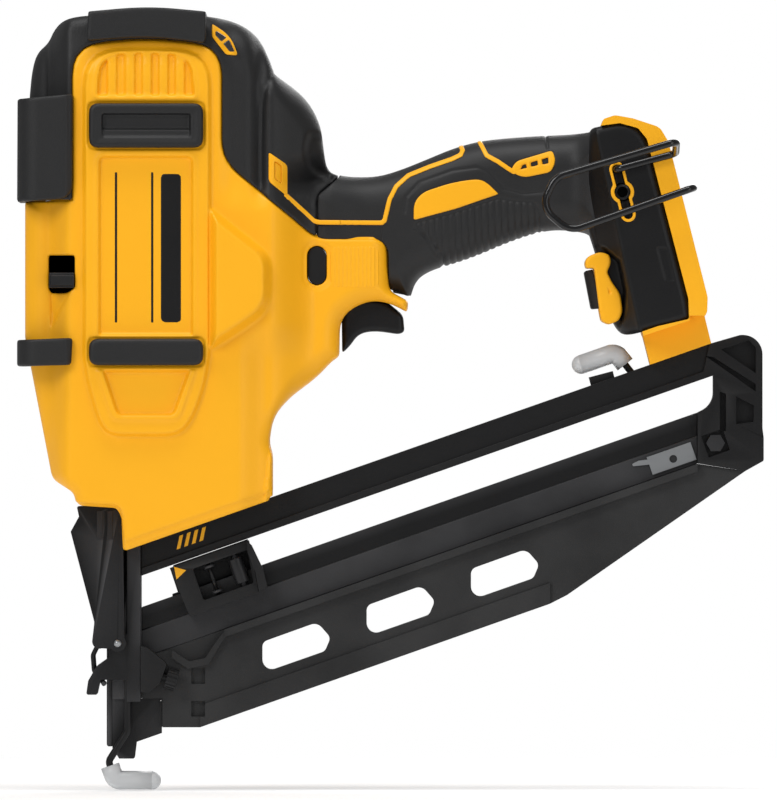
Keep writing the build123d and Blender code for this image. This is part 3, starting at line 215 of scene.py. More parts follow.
def mesh_object(name, verts, faces):
    mesh = bpy.data.meshes.new(name)
    mesh.vertices.add(len(verts))
    mesh.vertices.foreach_set("co", np.asarray(verts, np.float32).ravel())
    mesh.loops.add(faces.size)
    mesh.loops.foreach_set("vertex_index", faces.astype(np.int32).ravel())
    mesh.polygons.add(len(faces))
    mesh.polygons.foreach_set("loop_start", np.arange(0, faces.size, faces.shape[1], dtype=np.int32))
    mesh.polygons.foreach_set("use_smooth", np.ones(len(faces), bool))
    mesh.update()
    mesh.validate()
    obj = bpy.data.objects.new(name, mesh)
    bpy.context.scene.collection.objects.link(obj)
    return obj


def sculpt(name, field, lowest, highest, cell, share=1.0):
    """Mesh of a field between two corners in millimetres; share thins its faces out."""
    axes = [np.arange(a - 2.3 * cell, b + 2.5 * cell, cell) for a, b in zip(lowest, highest)]
    x, y, z = axes[0][:, None, None], axes[1][None, :, None], axes[2][None, None, :]
    values = np.broadcast_to(field(x, y, z), [len(a) for a in axes]).astype(np.float32)
    verts, faces = surface_net(values)
    verts = verts * cell + np.array([a[0] for a in axes])
    obj = mesh_object(name, verts * MM, faces)
    if share < 1:
        thin = obj.modifiers.new("thin", "DECIMATE")
        thin.ratio = share
        bpy.context.view_layer.objects.active = obj
        bpy.ops.object.modifier_apply(modifier=thin.name)
        obj.data.polygons.foreach_set("use_smooth", np.ones(len(obj.data.polygons), bool))
    return obj


# ---- outlines of the outer shells: (x, z) or (x, z, how much its corner is rounded) ----

SPLIT = 0.05        # gap of each half to the plane y = 0
FRONT = [(BODY_LEFT, 241), (BODY_LEFT, 185), (-30.7, 127, 3), (-21.8, 121.4, 2)]
HEEL = [
    (60.1, 137.5, 3), (58.6, 142, 3), (60.2, 152.5, 6), (67, 160.4, 5), (77.5, 168, 8),
    (84.3, 175.2, 3), (87.4, 177.2, 1.5), (87.7, 193.5, 6), (98, 199.8, 8), (107, 199.2, 6),
    (115.2, 194.9, 1.5), (115.7, 200.2, 1.5), (107.6, 204.6, 3), (107.4, 225.3, 7),
]
HOUSING = FRONT + [
    (-20.7, 117.4, 1), (-2.4, 116.2, 3), (-0.7, slope_z(-0.7, RAIL_TOP) + 0.1, 1),
    (60.1, slope_z(60.1, RAIL_TOP) + 0.1),
] + HEEL + [
    (77.4, 225.5, 5), (38.9, 257.5, 9), (38.9, 304, 12), (8, 307.6, 20), (-21.9, 304, 12), (-21.9, 241),
]
SILHOUETTE = FRONT + [
    (-20.7, 113.6, 1), (-3.4, 112.4, 3), (-3.2, 93.0, 1), (60.1, slope_z(60.1, RAIL_TOP) - 5),
] + HEEL + [
    (107, 236), (103, 251), (89, 250.7, 4), (82, 253, 5), (80.6, 262, 6), (79.4, 272.5, 8),
    (73.4, 283.4, 8), (60.6, 292.6, 2.5), (58.4, 299, 6), (54.4, 307.2, 6), (48.6, 312.2, 6),
    (41, 315.2, 8), (30, BODY_TOP - 0.4, 8), (-16, BODY_TOP - 0.3, 8), (-25.4, 315.2, 5),
    (-29.8, 310.8, 5), (-31.8, 305.8, 4), (-36.8, 301.5, 4), (-38.8, 294, 8), (-39.7, 284),
    (-39.8, 241),
]
PLATEAU = [
    (-18, 303.5, 16), (-18, 172, 9), (-11.9, 149.8, 8), (-6.9, 144.2, 6), (21.6, 144.2, 6),
    (28.2, 151.5, 8), (33.3, 166.5, 8), (35.2, 181, 6), (35.2, 303.5, 16),
]
BULGE = [(33, 240.4), (60, 219, 6), (60, 196, 8), (46, 186, 6), (33, 178)]
GRILLE = [(-11.9, 283.6, 1), (-10.6, 300.4, 9), (8, 301.6, 4), (26.6, 300.4, 9), (27.9, 283.6, 1)]
GRILLE_BARS = [-5.6, 1.5, 8.4, 15.3, 22.1]
LABEL = [(-11.4, 185.6, 1), (27.6, 185.6, 1), (27.6, 259.4, 3), (-11.4, 259.4, 3)]
TRAY = [(-10, 172), (26.7, 172), (19.9, 152.9, 2.5), (-3.8, 152.9, 2.5)]
TRAY_RIM = [(-12.6, 172), (29.3, 172), (22.2, 150.6, 4), (-6.2, 150.6, 4)]
HEEL_RIB = [(55.5, 116), (58.3, 138.6, 1), (63, 140), (63, 116)]
DIMPLE = [(73.4, 271, 5), (71.4, 262, 4), (73, 252.5, 5), (84, 247, 3), (90, 258), (84, 268.5, 5)]
RIB_PATCH = [(83.5, 205.5, 3), (103.6, 205.5, 3), (103.6, 222.4, 4), (83.5, 222.4, 3)]
RIM_WIDTH = 0.8         # raised rim round the label and the grille
EDGE_BAND = 2.8         # height of the band over the rail
BUTTON_X, BUTTON_Z = 77.9, 214.5    # middle of the lock-off button
BUTTON_LONG = 4.0       # half its straight stretch
NECK_HALF = 19.5        # half the width of the neck under the grip
FRONT_TAPER = 9.5       # how much narrower the body is at its front,
HEEL_TAPER = 4.6        # at the heel,
TOP_TAPER = 3.5         # at the top
CAP_STEP = 2.6          # and at the front of the cap
CROWN_DROP, CROWN_RIDGE, CROWN_FALL = 1.5, 3.0, 10.0    # step, groove and slope of the cap's rear
DIMPLE_DEEP = 4.5
HEEL_RIB_RISE = 1.6


def body_half_width(x, z):
    """Half the width of the body at each point of its side view."""
    panel = PANEL_RISE * within(inside(PLATEAU, x, z), 1.9)
    cover = (COVER_RISE + PANEL_RISE) * within(inside(BULGE, x, z), 4.5)
    w = BODY_HALF - PANEL_RISE + np.maximum(panel, cover)
    w = w - FRONT_TAPER * step((-22.5 - x) / 10)
    w = w - HEEL_TAPER * step((x - 45) / 13) * step((192 - z) / 16)
    w = w + HEEL_RIB_RISE * within(inside(HEEL_RIB, x, z), 1.2)
    neck = step((x - 58) / 20) * step((262 - z) / 14)
    w = w * (1 - neck) + NECK_HALF * neck
    crown = step((z - 236) / 14) * step((x - 36) / 8)
    w = w - crown * (CROWN_DROP + CROWN_RIDGE * ridge(x - 54.5, 3.2) + CROWN_FALL * step((x - 56) / 26))
    w = w - TOP_TAPER * step((z - 292) / 26)
    w = w - CAP_STEP * step((-31.2 - x) / 1.6) * step((z - 240) / 3)
    return w - DIMPLE_DEEP * within(inside(DIMPLE, x, z), 4.0)


def body_field(x, y, z):
    """The whole body, with larger edges at the rear of the cap, at the front and at the neck."""
    radius = 5.0 + 6.0 * step((z - 262) / 40) * step((x - 30) / 12)
    radius = radius + 4.0 * step((-24 - x) / 10) + 3 * step((x - 60) / 10)
    return both_in(inside(SILHOUETTE, x, z), np.abs(y) - body_half_width(x, z), radius)


BAR_HALF = 1.9                          # half the width of a bar of the grille
GRILLE_DEEP, SLOT_DEEP = 0.45, 1.5      # depth of its bars, and of the slots below them
LABEL_DEEP, TRAY_DEEP, TRAY_RISE = 1.7, 2.8, 0.9
RIM_RISE = 0.5
BAND_DEEP, PAD_DEEP = 1.3, 1.0          # depth of the band over the rail and of the side pads' beds
PAD_BED = 0.9                           # how much larger a bed is than its pad


def grille_cut(x, z):
    """Shallow panel with deeper slots between its bars, and a raised rim."""
    grille = inside(GRILLE, x, z)
    bars = np.full(np.broadcast(x, z).shape, FAR_OFF)
    for bar in GRILLE_BARS:
        bars = np.minimum(bars, np.abs(x - bar) - BAR_HALF)
    depth = GRILLE_DEEP + SLOT_DEEP * step((bars + 0.3) / 0.7)
    return within(grille, 0.7) * depth - RIM_RISE * ridge(grille - 1.0, RIM_WIDTH)


def body_relief(x, z):
    """How far the side is cut back, in millimetres."""
    label = inside(LABEL, x, z)
    cut = grille_cut(x, z) + LABEL_DEEP * within(label, 1.3) - RIM_RISE * ridge(label - 0.6, RIM_WIDTH)
    cut = cut - TRAY_RISE * within(inside(TRAY_RIM, x, z), 0.9)
    cut = cut + TRAY_DEEP * within(inside(TRAY, x, z), 1.3)
    cut = cut + 0.5 * ridge(lock_hole(x, z, 5.2), 0.9)
    edge = slope_z(x, RAIL_TOP) + EDGE_BAND - z
    cut = cut + BAND_DEEP * step((edge + 0.5) / 1.0) * step((60 - x) / 2)
    for px, pz, tall in PADS:
        cut = cut + PAD_DEEP * within(pad_outline(x, z, px, pz, tall, -PAD_BED), 0.7)
    return cut


PADS = [(8.2, 271.6, 9.25), (8.2, 179.1, 5.6)]      # middle and half height of each side pad
PAD_LONG = (high("side_pads").x - low("side_pads").x) / 2
WALL_EDGE, WALL_SIDE = 4.2, 5.2         # thickness of the shells round the outline and at the sides
LAP, LAP_DEEP = 1.1, 1.6                # how far and how deep one shell reaches under its neighbour
STALL_WINDOW, STALL_Y = rectangle(-31.7, 205, -20.9, 218.6, 0.6), -18
SEAM_GAP = 0.15                         # half the gap between two shells
NOSE_POCKET = (-12.6, 10.4, -10.9, 10.9, 90, 122)       # x, y and z of the room for the nose
BUTTON_HOLE = 4.05
TRIGGER_SLOT_HALF = 8.7
TRIGGER_SLOT = [(87, 172), (118, 172), (118, 202.5), (109, 203.5), (109, 211), (87, 211)]
STALL_RAMP = [(-31.9, 206), (-20.9, 206), (-31.2, 187.5)]
STALL_RAMP_DEEP = 1.6


def pad_outline(x, z, px, pz, tall, shrink):
    a, b = PAD_LONG - shrink, tall - shrink
    return inside(rectangle(px - a, pz - b, px + a, pz + b, 4), x, z)


def box_field(x, y, z, x0, x1, y0, y1, z0, z1):
    across = np.maximum(np.maximum(x0 - x, x - x1), np.maximum(y0 - y, y - y1))
    return np.maximum(across, np.maximum(z0 - z, z - z1))


def cavity_field(x, y, z):
    """Hollow behind the shell's wall."""
    sides = np.abs(y) - body_half_width(x, z) + WALL_SIDE
    return both_in(inside(SILHOUETTE, x, z) + WALL_EDGE, sides, 3)


def lap(base):
    """How far a lower layer of one shell reaches under the edge of its neighbour."""
    return LAP * step((-base - LAP_DEEP) / 0.5)


def stall_recess(x, y, z):
    return np.maximum(inside(STALL_WINDOW, x, z), y - STALL_Y)


def lock_hole(x, z, r):
    return np.sqrt((x - BUTTON_X) ** 2 + np.maximum(np.abs(z - BUTTON_Z) - BUTTON_LONG, 0) ** 2) - r


def housing_field(x, y, z):
    base = body_field(x, y, z)
    shell = np.maximum(base + body_relief(x, z), -cavity_field(x, y, z))
    shell = both_in(shell, inside(HOUSING, x, z) + SEAM_GAP - lap(base), 0.9)
    nose = box_field(x, y, z, *NOSE_POCKET)
    slot = np.maximum(inside(TRIGGER_SLOT, x, z), np.abs(y) - TRIGGER_SLOT_HALF)
    shell = np.maximum(shell, -np.minimum(nose, slot))
    return np.maximum(shell, -lock_hole(x, z, BUTTON_HOLE))


def housing_near(x, y, z):
    shell = np.maximum(housing_field(x, y, z), -stall_recess(x, y, z))
    return both_in(shell + STALL_RAMP_DEEP * within(inside(STALL_RAMP, x, z), 1.2), y + SPLIT, 0.3)


def housing_far(x, y, z):
    return both_in(housing_field(x, y, z), SPLIT - y, 0.3)


LIGHT = [(35, 313.4, 1), (35, 308, 1), (40.8, 300.6, 1), (45.8, 300.2, 1.5), (42.6, 308.4, 8)]
PANES = [
    [(36.6, 310.4, 0.4), (36.6, 308.5), (38.9, 305.9), (41, 307.6)],
    [(39.9, 304.8), (42.2, 301.9), (44.3, 301.8, 0.4), (42.2, 306.4)],
]
LOZENGE = [(58.2, 260.8, 1), (65.9, 255.6, 1.5), (65.9, 242.6, 1), (58.2, 248.8, 1.5)]
CAP_CREASE = [(59.5, 292.5), (56.6, 286), (55.2, 278), (54.8, 262), (55, 246)]
LOZENGE_IN = [(60.7, 257.2, 0.8), (63.4, 255.2, 0.8), (63.4, 247.9, 0.8), (60.7, 249.9, 0.8)]
GRIP_SEAM = [
    (87.2, 252.5), (86.9, 250.8, 1), (78.2, 243.4, 1.5), (77.7, 231.4), (77.7, 224.4), (104, 224.4),
    (104.5, 252.5),
]

GRIP_GAP = 0.12         # half the gap between the cap and the grip
CREASE_DEEP, LOZENGE_BED, LIGHT_BED = 0.7, 0.5, 0.6


def cover_field(x, y, z):
    base = body_field(x, y, z)
    shell = base + CREASE_DEEP * ridge(from_line(CAP_CREASE, x, z), 1.1)
    shell = shell + LOZENGE_BED * within(inside(LOZENGE, x, z), 0.6)
    shell = shell + LIGHT_BED * within(inside(LIGHT, x, z), 0.6)
    shell = np.maximum(shell, -cavity_field(x, y, z))
    shell = both_in(shell, SEAM_GAP + lap(base) - inside(HOUSING, x, z), 0.8)
    return both_in(shell, GRIP_GAP - lap(base) - inside(GRIP_SEAM, x, z), 0.4)


def half(field, side):
    """One half of a shell that is split at y = 0."""
    return lambda x, y, z: np.maximum(field(x, y, z), SPLIT - side * y)


# ---- grip ----

GRIP = [
    (70, 250), (84, 252.5), (90, 250.9, 4), (102.1, 250.7, 8), (112, 253.6, 8), (124.2, 258.6, 6),
    (134.5, 262.9, 6), (146, 265.9, 8), (165, 267.5, 8), (FOOT_X - 8, 268.4, 8), (FOOT_X + 4, 271, 2),
    (FOOT_X + 4, 222), (FOOT_X - 1.7, 222, 3), (FOOT_X - 3.9, 227.3, 3), (183, 228.9, 6),
    (172, 229.2, 8), (158, 224.8, 8), (140, 217.1, 8), (124.4, 212.6, 5), (118.4, 208.6, 4),
    (115.9, 200.6, 1), (109.6, 203.4), (96, 205), (70, 205),
]
BADGE = [
    (117.5, 233.1, 1), (117.6, 240.4, 3), (121.4, 244.6, 3), (133.8, 248.7, 6), (144.4, 250, 3),
    (147.8, 248.2, 2), (152.3, 243.8, 0.6), (134.9, 237.8),
]
TAG = [
    (157.0, 253.2, 2), (159.4, 257.2, 2), (174.3, 261.7, 1.5), (175.7, 257.5, 2), (173.8, 252.8, 2),
    (162.2, 250.4, 3),
]
RIBBED = [
    (117.4, 231.8, 3), (134.9, 236.5), (152.3, 242.2, 2), (160, 240.6, 6), (168, 240.6, 4),
    (170, 232, 4), (165, 222), (131, 206), (129.5, 214.6, 4), (122.4, 226, 4),
]
TOP_GROOVE = [
    (113.6, 236), (114.4, 242.6), (120, 248.6), (133.5, 253.4), (143.6, 254.7), (148.6, 252.4),
    (154.6, 245.9), (162.6, 243.9), (170, 244.6),
]
GRIP_SEAMS = [
    [(171.6, 267.8), (172.4, 262.6)], [(170, 229), (171, 224)],
    [(130, 214), (129, 219.6), (124.2, 225.2), (117.2, 229.6)],
]
FOOT_FRONT = [
    (FOOT_X - 3, 275), (FOOT_X - 1.2, 262, 4), (FOOT_X - 0.4, 236, 4), (FOOT_X - 0.6, 222),
    (FOOT_X, 215), (FOOT_X + 30, 215), (FOOT_X + 30, 275),
]
GRIP_SLOT = [(80, 172), (117, 172), (117, 202), (109, 203.5), (109, 211), (80, 211)]
GRIP_ROUND = 13.0       # radius of the grip's edges
GRIP_WALL = 4.5
RIB_PITCH = 2.75
GROOVE = 0.5            # depth of the grip's seams, outlines and ribs
WAIST, NECK_RISE, HEEL_FLARE = 1.2, 1.6, 7.0    # narrower in the middle, wider at both ends
BADGE_BED, TAG_BED = 0.4, 0.3
SKIN_X = 87.3           # where the cap's surface gives way to the grip's


def grip_half_width(x):
    waist = WAIST * step((x - 120) / 30) * step((178 - x) / 20)
    return GRIP_HALF - 0.2 - waist + NECK_RISE * step((98 - x) / 14)


def grip_field(x, y, z):
    w = grip_half_width(x) + HEEL_FLARE * step((x - FOOT_X + 16) / 16) ** 2 - 0.2
    body = both_in(inside(GRIP, x, z), np.abs(y) - w, GRIP_ROUND)
    lean = x + (z - 230) * 0.04
    patch = inside(RIBBED, x, z)
    body = body + GROOVE * within(patch, 1.0) * waves(lean, RIB_PITCH) ** 4
    body = body + GROOVE * ridge(np.abs(patch), 0.55) + GROOVE * ridge(from_line(TOP_GROOVE, x, z), 0.5)
    for seam in GRIP_SEAMS:
        body = body + GROOVE * ridge(from_line(seam, x, z), 0.45)
    body = body + BADGE_BED * within(inside(BADGE, x, z), 0.5)
    return body + TAG_BED * within(inside(TAG, x, z), 0.5)


def grip_shell(x, y, z):
    grip = grip_field(x, y, z)
    hollow = both_in(inside(GRIP, x, z) + GRIP_WALL, np.abs(y) - GRIP_HALF + 5, 9)
    body = np.maximum(grip, -hollow)
    body = np.maximum(body, -0.3 - inside(HOUSING, x, z))
    body = both_in(body, np.minimum(inside(GRIP_SEAM, x, z) + GRIP_GAP + lap(grip), SKIN_X - x), 0.4)
    body = np.maximum(body, -(inside(FOOT_FRONT, x, z)))
    return np.maximum(body, -np.maximum(inside(GRIP_SLOT, x, z), np.abs(y) - TRIGGER_SLOT_HALF))


# ---- foot ----

FOOT = [
    (FOOT_X - 4.5, 270.4, 2), (FOOT_X + 7.7, 273.2, 4), (FOOT_X + 15.4, 270.8, 4),
    (FOOT_X + 19, 265.4, 4), (FOOT_X + 35.6, 200.4, 2), (FOOT_X + 36.6, 193.2, 1.5),
    (FOOT_X + 33.4, 191.4, 2), (FOOT_X + 22, 188.8, 4), (FOOT_X + 13, 186.2, 4),
    (FOOT_X + 8.4, 186.4, 3), (FOOT_X + 4.9, 191.5, 3), (FOOT_X - 1.6, 218.6, 6),
    (FOOT_X - 5.4, 230, 4),
]
FOOT_PANEL = [
    (FOOT_X + 22.5, 222, 0.5), (FOOT_X + 27, 222, 0.5), (FOOT_X + 30.2, 208, 0.5),
    (FOOT_X + 26, 208, 0.5),
]
WELL = [
    (FOOT_X - 9, 224), (FOOT_X + 1.5, 222.6, 1), (FOOT_X + 8.2, 216.8, 1), (FOOT_X + 11, 203.7, 1),
    (FOOT_X + 10.4, 194, 2), (FOOT_X + 7.6, 186, 1), (FOOT_X - 9, 186),
]
WELL_HALF, HOLLOW_HALF = 20.5, 18.2             # half widths at the selector and of the hollow inside
FOOT_ROUND = 3.2
KEY_X, KEY_Z, KEY_LONG = FOOT_X + 8.8, 244.5, 9.5   # keyhole: middle and half its length
KEY_HOLE, KEY_TRIM = (3.3, 1.9), (4.8, 3.1)     # radius of its ring and half the width of its slot
KEY_DEEP, HOOK_R, HOOK_Y = 4.2, 3.4, 20.0       # its depth, and the bore for the belt hook down to y
FOOT_CHAMFER, FOOT_STEP = 12.5, 0.6


def key_field(x, z, ring, slot):
    """Keyhole outline along the foot's tilt."""
    s, c = sin(DOCK_TILT), cos(DOCK_TILT)
    along = -(x - KEY_X) * s + (z - KEY_Z) * c
    across = (x - KEY_X) * c + (z - KEY_Z) * s
    straight = np.hypot(np.maximum(np.abs(along) - KEY_LONG, 0), across)
    return np.minimum(np.hypot(along, across) - ring, straight - slot)


def foot_half_width(x, z):
    """Half the width of the foot: chamfered towards the grip and cut back round the selector."""
    front = FOOT_X + 6.4 - x - (z - 230) * 0.22
    w = FOOT_HALF - FOOT_CHAMFER * np.clip(front / 9, 0, 1) - FOOT_STEP * step((front + 1.5) / 3)
    return w - (w - WELL_HALF) * within(inside(WELL, x, z), 1.6)


def foot_solid(x, y, z):
    return both_in(inside(FOOT, x, z), np.abs(y) - foot_half_width(x, z), FOOT_ROUND)


def foot_field(x, y, z):
    hollow = both_in(inside(FOOT, x, z) + FOOT_ROUND, np.abs(y) - HOLLOW_HALF, 1)
    body = np.maximum(foot_solid(x, y, z) + 0.35 * within(inside(FOOT_PANEL, x, z), 0.5), -hollow)
    key = np.maximum(key_field(x, z, *KEY_HOLE), FOOT_HALF - KEY_DEEP - np.abs(y))
    bore = np.maximum(np.hypot(x - KEY_X, z - KEY_Z) - HOOK_R, HOOK_Y - np.abs(y))
    return np.maximum(body, -np.minimum(key, bore))


# ---- soft bumpers that wrap round the body ----

TOP_PAD = [
    (-16.2, 306.2, 2), (-15.4, 318.2, 0.6), (9, 320.4, 14), (32.6, 318.2, 0.6), (32.6, 305.2, 2),
    (9, 308.2, 14),
]
FRONT_PAD = [
    (-44.6, 240.4, 0.8), (-25.4, 241.6, 3), (-22.0, 244.6, 3), (-21.7, 284.6, 1.2), (-44.4, 282.4, 0.8),
]
LOW_PAD = [(-44.6, 173.2, 0.8), (-22.4, 173.8, 1.4), (-21.8, 184.9, 1.4), (-44.6, 184, 0.8)]
WRAP_FACE = WRAP_HALF - 0.3
WRAP_FRONT, WRAP_ROUND = -44.7, 9       # front face of the bumpers and the radius of its corners
PAD_ROOT = BODY_HALF - 1.6              # how deep the side pads reach into the body
WINDOW_X, WINDOW_Z = 18, 4.6            # half sizes of the window in the upper pad
SLOPE_X, SLOPE_Z, SLOPE_DEEP = 21.5, 7.3, 0.4   # half sizes and depth of the slope round it
LEDGE_DROP, LEDGE_HALF, LEDGE_RISE = 3.2, 1.5, 2.0      # bar low in that window
BEVEL_START, BEVEL_RUN, BEVEL_DEEP = -24.9, 2.4, 1.1    # slope to the bumpers' rear edge


def wrap_field(outline):
    def field(x, y, z):
        bevel = BEVEL_DEEP * step((x - BEVEL_START) / BEVEL_RUN) * step((-20 - x) / 0.5)
        side = np.abs(y) - WRAP_FACE
        block = both_in(inside(outline, x, z), side + bevel, 1.0)
        block = np.maximum(block, both_in(WRAP_FRONT - x, side, WRAP_ROUND))
        return np.maximum(block, -body_field(x, y, z) - 1.0)
    return field


def pads_field(x, y, z):
    shape = np.full(np.broadcast(x, z).shape, FAR_OFF)
    for px, pz, tall in PADS:
        shape = np.minimum(shape, pad_outline(x, z, px, pz, tall, 0.15))
    solid = both_in(shape, np.abs(y) - PAD_FACE, 1.6)
    solid = np.maximum(solid, PAD_ROOT - np.abs(y))
    px, pz, _ = PADS[0]
    window = inside(rectangle(px - WINDOW_X, pz - WINDOW_Z, px + WINDOW_X, pz + WINDOW_Z, 0.4), x, z)
    slope = inside(rectangle(px - SLOPE_X, pz - SLOPE_Z, px + SLOPE_X, pz + SLOPE_Z, 1), x, z)
    solid = solid + SLOPE_DEEP * within(slope, 2)
    solid = np.maximum(solid, -np.maximum(window, BODY_HALF + 0.4 - np.abs(y)))
    ledge = np.maximum(np.abs(x - px) - WINDOW_X + 0.1, np.abs(z - (pz - LEDGE_DROP)) - LEDGE_HALF)
    depth = np.maximum(np.abs(y) - BODY_HALF - LEDGE_RISE, PAD_ROOT - np.abs(y))
    return np.minimum(solid, np.maximum(ledge, depth))


# ---- materials ----

CLOUD_SCALE = 28.0              # large uneven patches of colour and gloss
SHEEN_AND_WEAR_FROM, SHEEN_AND_WEAR_TO = 0.53, 0.62     # how sharp an edge has to be to get the lighter colour: painted highlight, partly wear
GLOSS_SPREAD = 0.06
COAT_ROUGHNESS = 0.15
BUMP_DISTANCE = 0.0002
PLASTIC_IOR = 1.45


def node_material(name, colour, roughness, grain, grain_size, variation, metallic=0.0, coat=0.0, sheen_and_wear=0.0,
                  sheen_and_wear_colour=None, alpha=1.0, specular=0.5):
    """Moulded or machined surface: fine bump, uneven colour and roughness, and lighter edges that are a
    painted highlight, partly wear.
    """
    mat = bpy.data.materials.new(name)
    mat.use_nodes = True
    nodes, links = mat.node_tree.nodes, mat.node_tree.links
    shader = nodes["Principled BSDF"]
    shader.inputs["Metallic"].default_value = metallic
    shader.inputs["Specular IOR Level"].default_value = specular
    shader.inputs["Coat Weight"].default_value = coat
    shader.inputs["Coat Roughness"].default_value = COAT_ROUGHNESS
    place = nodes.new("ShaderNodeTexCoord")
    cloud = nodes.new("ShaderNodeTexNoise")
    cloud.inputs["Scale"].default_value = CLOUD_SCALE
    cloud.inputs["Detail"].default_value = 4.0
    links.new(place.outputs["Object"], cloud.inputs["Vector"])
    tint = nodes.new("ShaderNodeMapRange")
    tint.inputs["To Min"].default_value = 1 - variation
    tint.inputs["To Max"].default_value = 1 + variation
    links.new(cloud.outputs["Fac"], tint.inputs["Value"])
    shade = nodes.new("ShaderNodeMix")
    shade.data_type = "RGBA"
    shade.blend_type = "MULTIPLY"
    shade.inputs["Factor"].default_value = 1.0
    shade.inputs[6].default_value = (*colour, 1)
    links.new(tint.outputs["Result"], shade.inputs[7])
    last = shade.outputs[2]
    # sharp edges get a lighter colour in patches: painted highlight along the edges, partly wear
    if sheen_and_wear:
        geometry = nodes.new("ShaderNodeNewGeometry")
        edge = nodes.new("ShaderNodeMapRange")
        edge.inputs["From Min"].default_value = SHEEN_AND_WEAR_FROM
        edge.inputs["From Max"].default_value = SHEEN_AND_WEAR_TO
        links.new(geometry.outputs["Pointiness"], edge.inputs["Value"])
        patch = nodes.new("ShaderNodeMath")
        patch.operation = "MULTIPLY"
        links.new(edge.outputs["Result"], patch.inputs[0])
        links.new(cloud.outputs["Fac"], patch.inputs[1])
        limit = nodes.new("ShaderNodeMath")
        limit.operation = "MULTIPLY"
        limit.inputs[1].default_value = sheen_and_wear
        links.new(patch.outputs[0], limit.inputs[0])
        sheen_and_worn = nodes.new("ShaderNodeMix")
        sheen_and_worn.data_type = "RGBA"
        sheen_and_worn.inputs[7].default_value = (*(sheen_and_wear_colour or colour), 1)
        links.new(limit.outputs[0], sheen_and_worn.inputs["Factor"])
        links.new(last, sheen_and_worn.inputs[6])
        last = sheen_and_worn.outputs[2]
    links.new(last, shader.inputs["Base Color"])
    gloss = nodes.new("ShaderNodeMapRange")
    gloss.inputs["To Min"].default_value = roughness - GLOSS_SPREAD
    gloss.inputs["To Max"].default_value = roughness + GLOSS_SPREAD
    links.new(cloud.outputs["Fac"], gloss.inputs["Value"])
    links.new(gloss.outputs["Result"], shader.inputs["Roughness"])
    fine = nodes.new("ShaderNodeTexNoise")
    fine.inputs["Scale"].default_value = 1 / (grain_size * MM)
    fine.inputs["Detail"].default_value = 3.0
    links.new(place.outputs["Object"], fine.inputs["Vector"])
    bump = nodes.new("ShaderNodeBump")
    bump.inputs["Strength"].default_value = grain
    bump.inputs["Distance"].default_value = BUMP_DISTANCE
    links.new(fine.outputs["Fac"], bump.inputs["Height"])
    links.new(bump.outputs["Normal"], shader.inputs["Normal"])
    if alpha < 1:
        shader.inputs["Transmission Weight"].default_value = 1 - alpha
        shader.inputs["IOR"].default_value = PLASTIC_IOR
    return mat


# colour, roughness, strength and size of the grain in millimetres, variation of the colour
# the lighter edge colours below are painted highlights on the edges, partly wear
LOOKS = {
    "yellow_plastic": dict(
        colour=(0.95, 0.44, 0.008), roughness=0.42, grain=0.12, grain_size=0.35, variation=0.02,
        sheen_and_wear=0.25, sheen_and_wear_colour=(1.0, 0.56, 0.06), specular=0.28,
    ),
    "black_plastic": dict(
        colour=(0.0045, 0.0045, 0.005), roughness=0.42, grain=0.3, grain_size=0.4, variation=0.1,
        sheen_and_wear=0.5, sheen_and_wear_colour=(0.075, 0.075, 0.075), specular=0.26,
    ),
    "black_rubber": dict(
        colour=(0.009, 0.009, 0.0095), roughness=0.5, grain=0.55, grain_size=0.45, variation=0.12,
        sheen_and_wear=0.3, sheen_and_wear_colour=(0.07, 0.07, 0.07), specular=0.38,
    ),
    "grey_rubber": dict(
        colour=(0.62, 0.63, 0.64), roughness=0.3, grain=0.15, grain_size=0.8, variation=0.06, alpha=0.8,
    ),
    "black_steel": dict(
        colour=(0.005, 0.005, 0.0055), roughness=0.36, grain=0.2, grain_size=0.5, variation=0.15,
        sheen_and_wear=0.6, sheen_and_wear_colour=(0.2, 0.2, 0.21), specular=0.25,
    ),
    "steel": dict(
        colour=(0.33, 0.34, 0.35), roughness=0.34, grain=0.15, grain_size=0.3, variation=0.06,
        metallic=1.0,
    ),
    "gloss_black": dict(
        colour=(0.002, 0.002, 0.0025), roughness=0.2, grain=0.05, grain_size=0.8, variation=0.1,
        coat=0.35, specular=0.3,
    ),
    # clear_lens is nearly black and opaque: painted shade of the dark inside seen through the lens
    "clear_lens": dict(
        colour=(0.02, 0.02, 0.024), roughness=0.12, grain=0.02, grain_size=0.8, variation=0.1, coat=0.6,
    ),
    "copper": dict(
        colour=(0.6, 0.28, 0.12), roughness=0.35, grain=0.4, grain_size=0.5, variation=0.15,
        metallic=0.9,
    ),
    "alloy": dict(
        colour=(0.5, 0.5, 0.51), roughness=0.5, grain=0.4, grain_size=0.5, variation=0.08, metallic=1.0,
    ),
    "wire_cover": dict(
        colour=(0.4, 0.03, 0.02), roughness=0.4, grain=0.1, grain_size=0.4, variation=0.05,
    ),
}
MATERIALS = {name: node_material(name, **look) for name, look in LOOKS.items()}


def paint(obj, slot):
    obj.data.materials.clear()
    obj.data.materials.append(MATERIALS[slot])


# ---- CAD nodes that stay: softer edges and better materials ----

SLOTS = {row["node"]: row["material_slot"] for row in frame["record"]["subparts"]}
ROUND = {
    "belt_hook", "contact_wire", "no_mar_pad", "spare_pad", "return_springs", "trip_spring", "latch_bail",
    "pivot_pins", "pusher_axles", "wiring",
}
EDGE = {        # size of the softened edges in millimetres
    "magazine_frame": 0.7, "magazine_wall_left": 0.6, "magazine_wall_right": 0.6, "battery_dock": 2.2,
    "latch_lever": 0.8, "mode_selector": 0.8,
}
SMALL_EDGE = 0.35
WELD_DISTANCE = 0.000002
FLAT_ANGLE, EDGE_ANGLE = radians(0.6), radians(32)
REPLACED = {
    "housing_left", "housing_right", "cover_left", "cover_right", "grip_left", "grip_right",
    "foot_cover_left", "foot_cover_right", "bumper_top", "bumper_front_upper", "bumper_front_lower",
    "side_pads", "trigger", "selector_bracket",
}


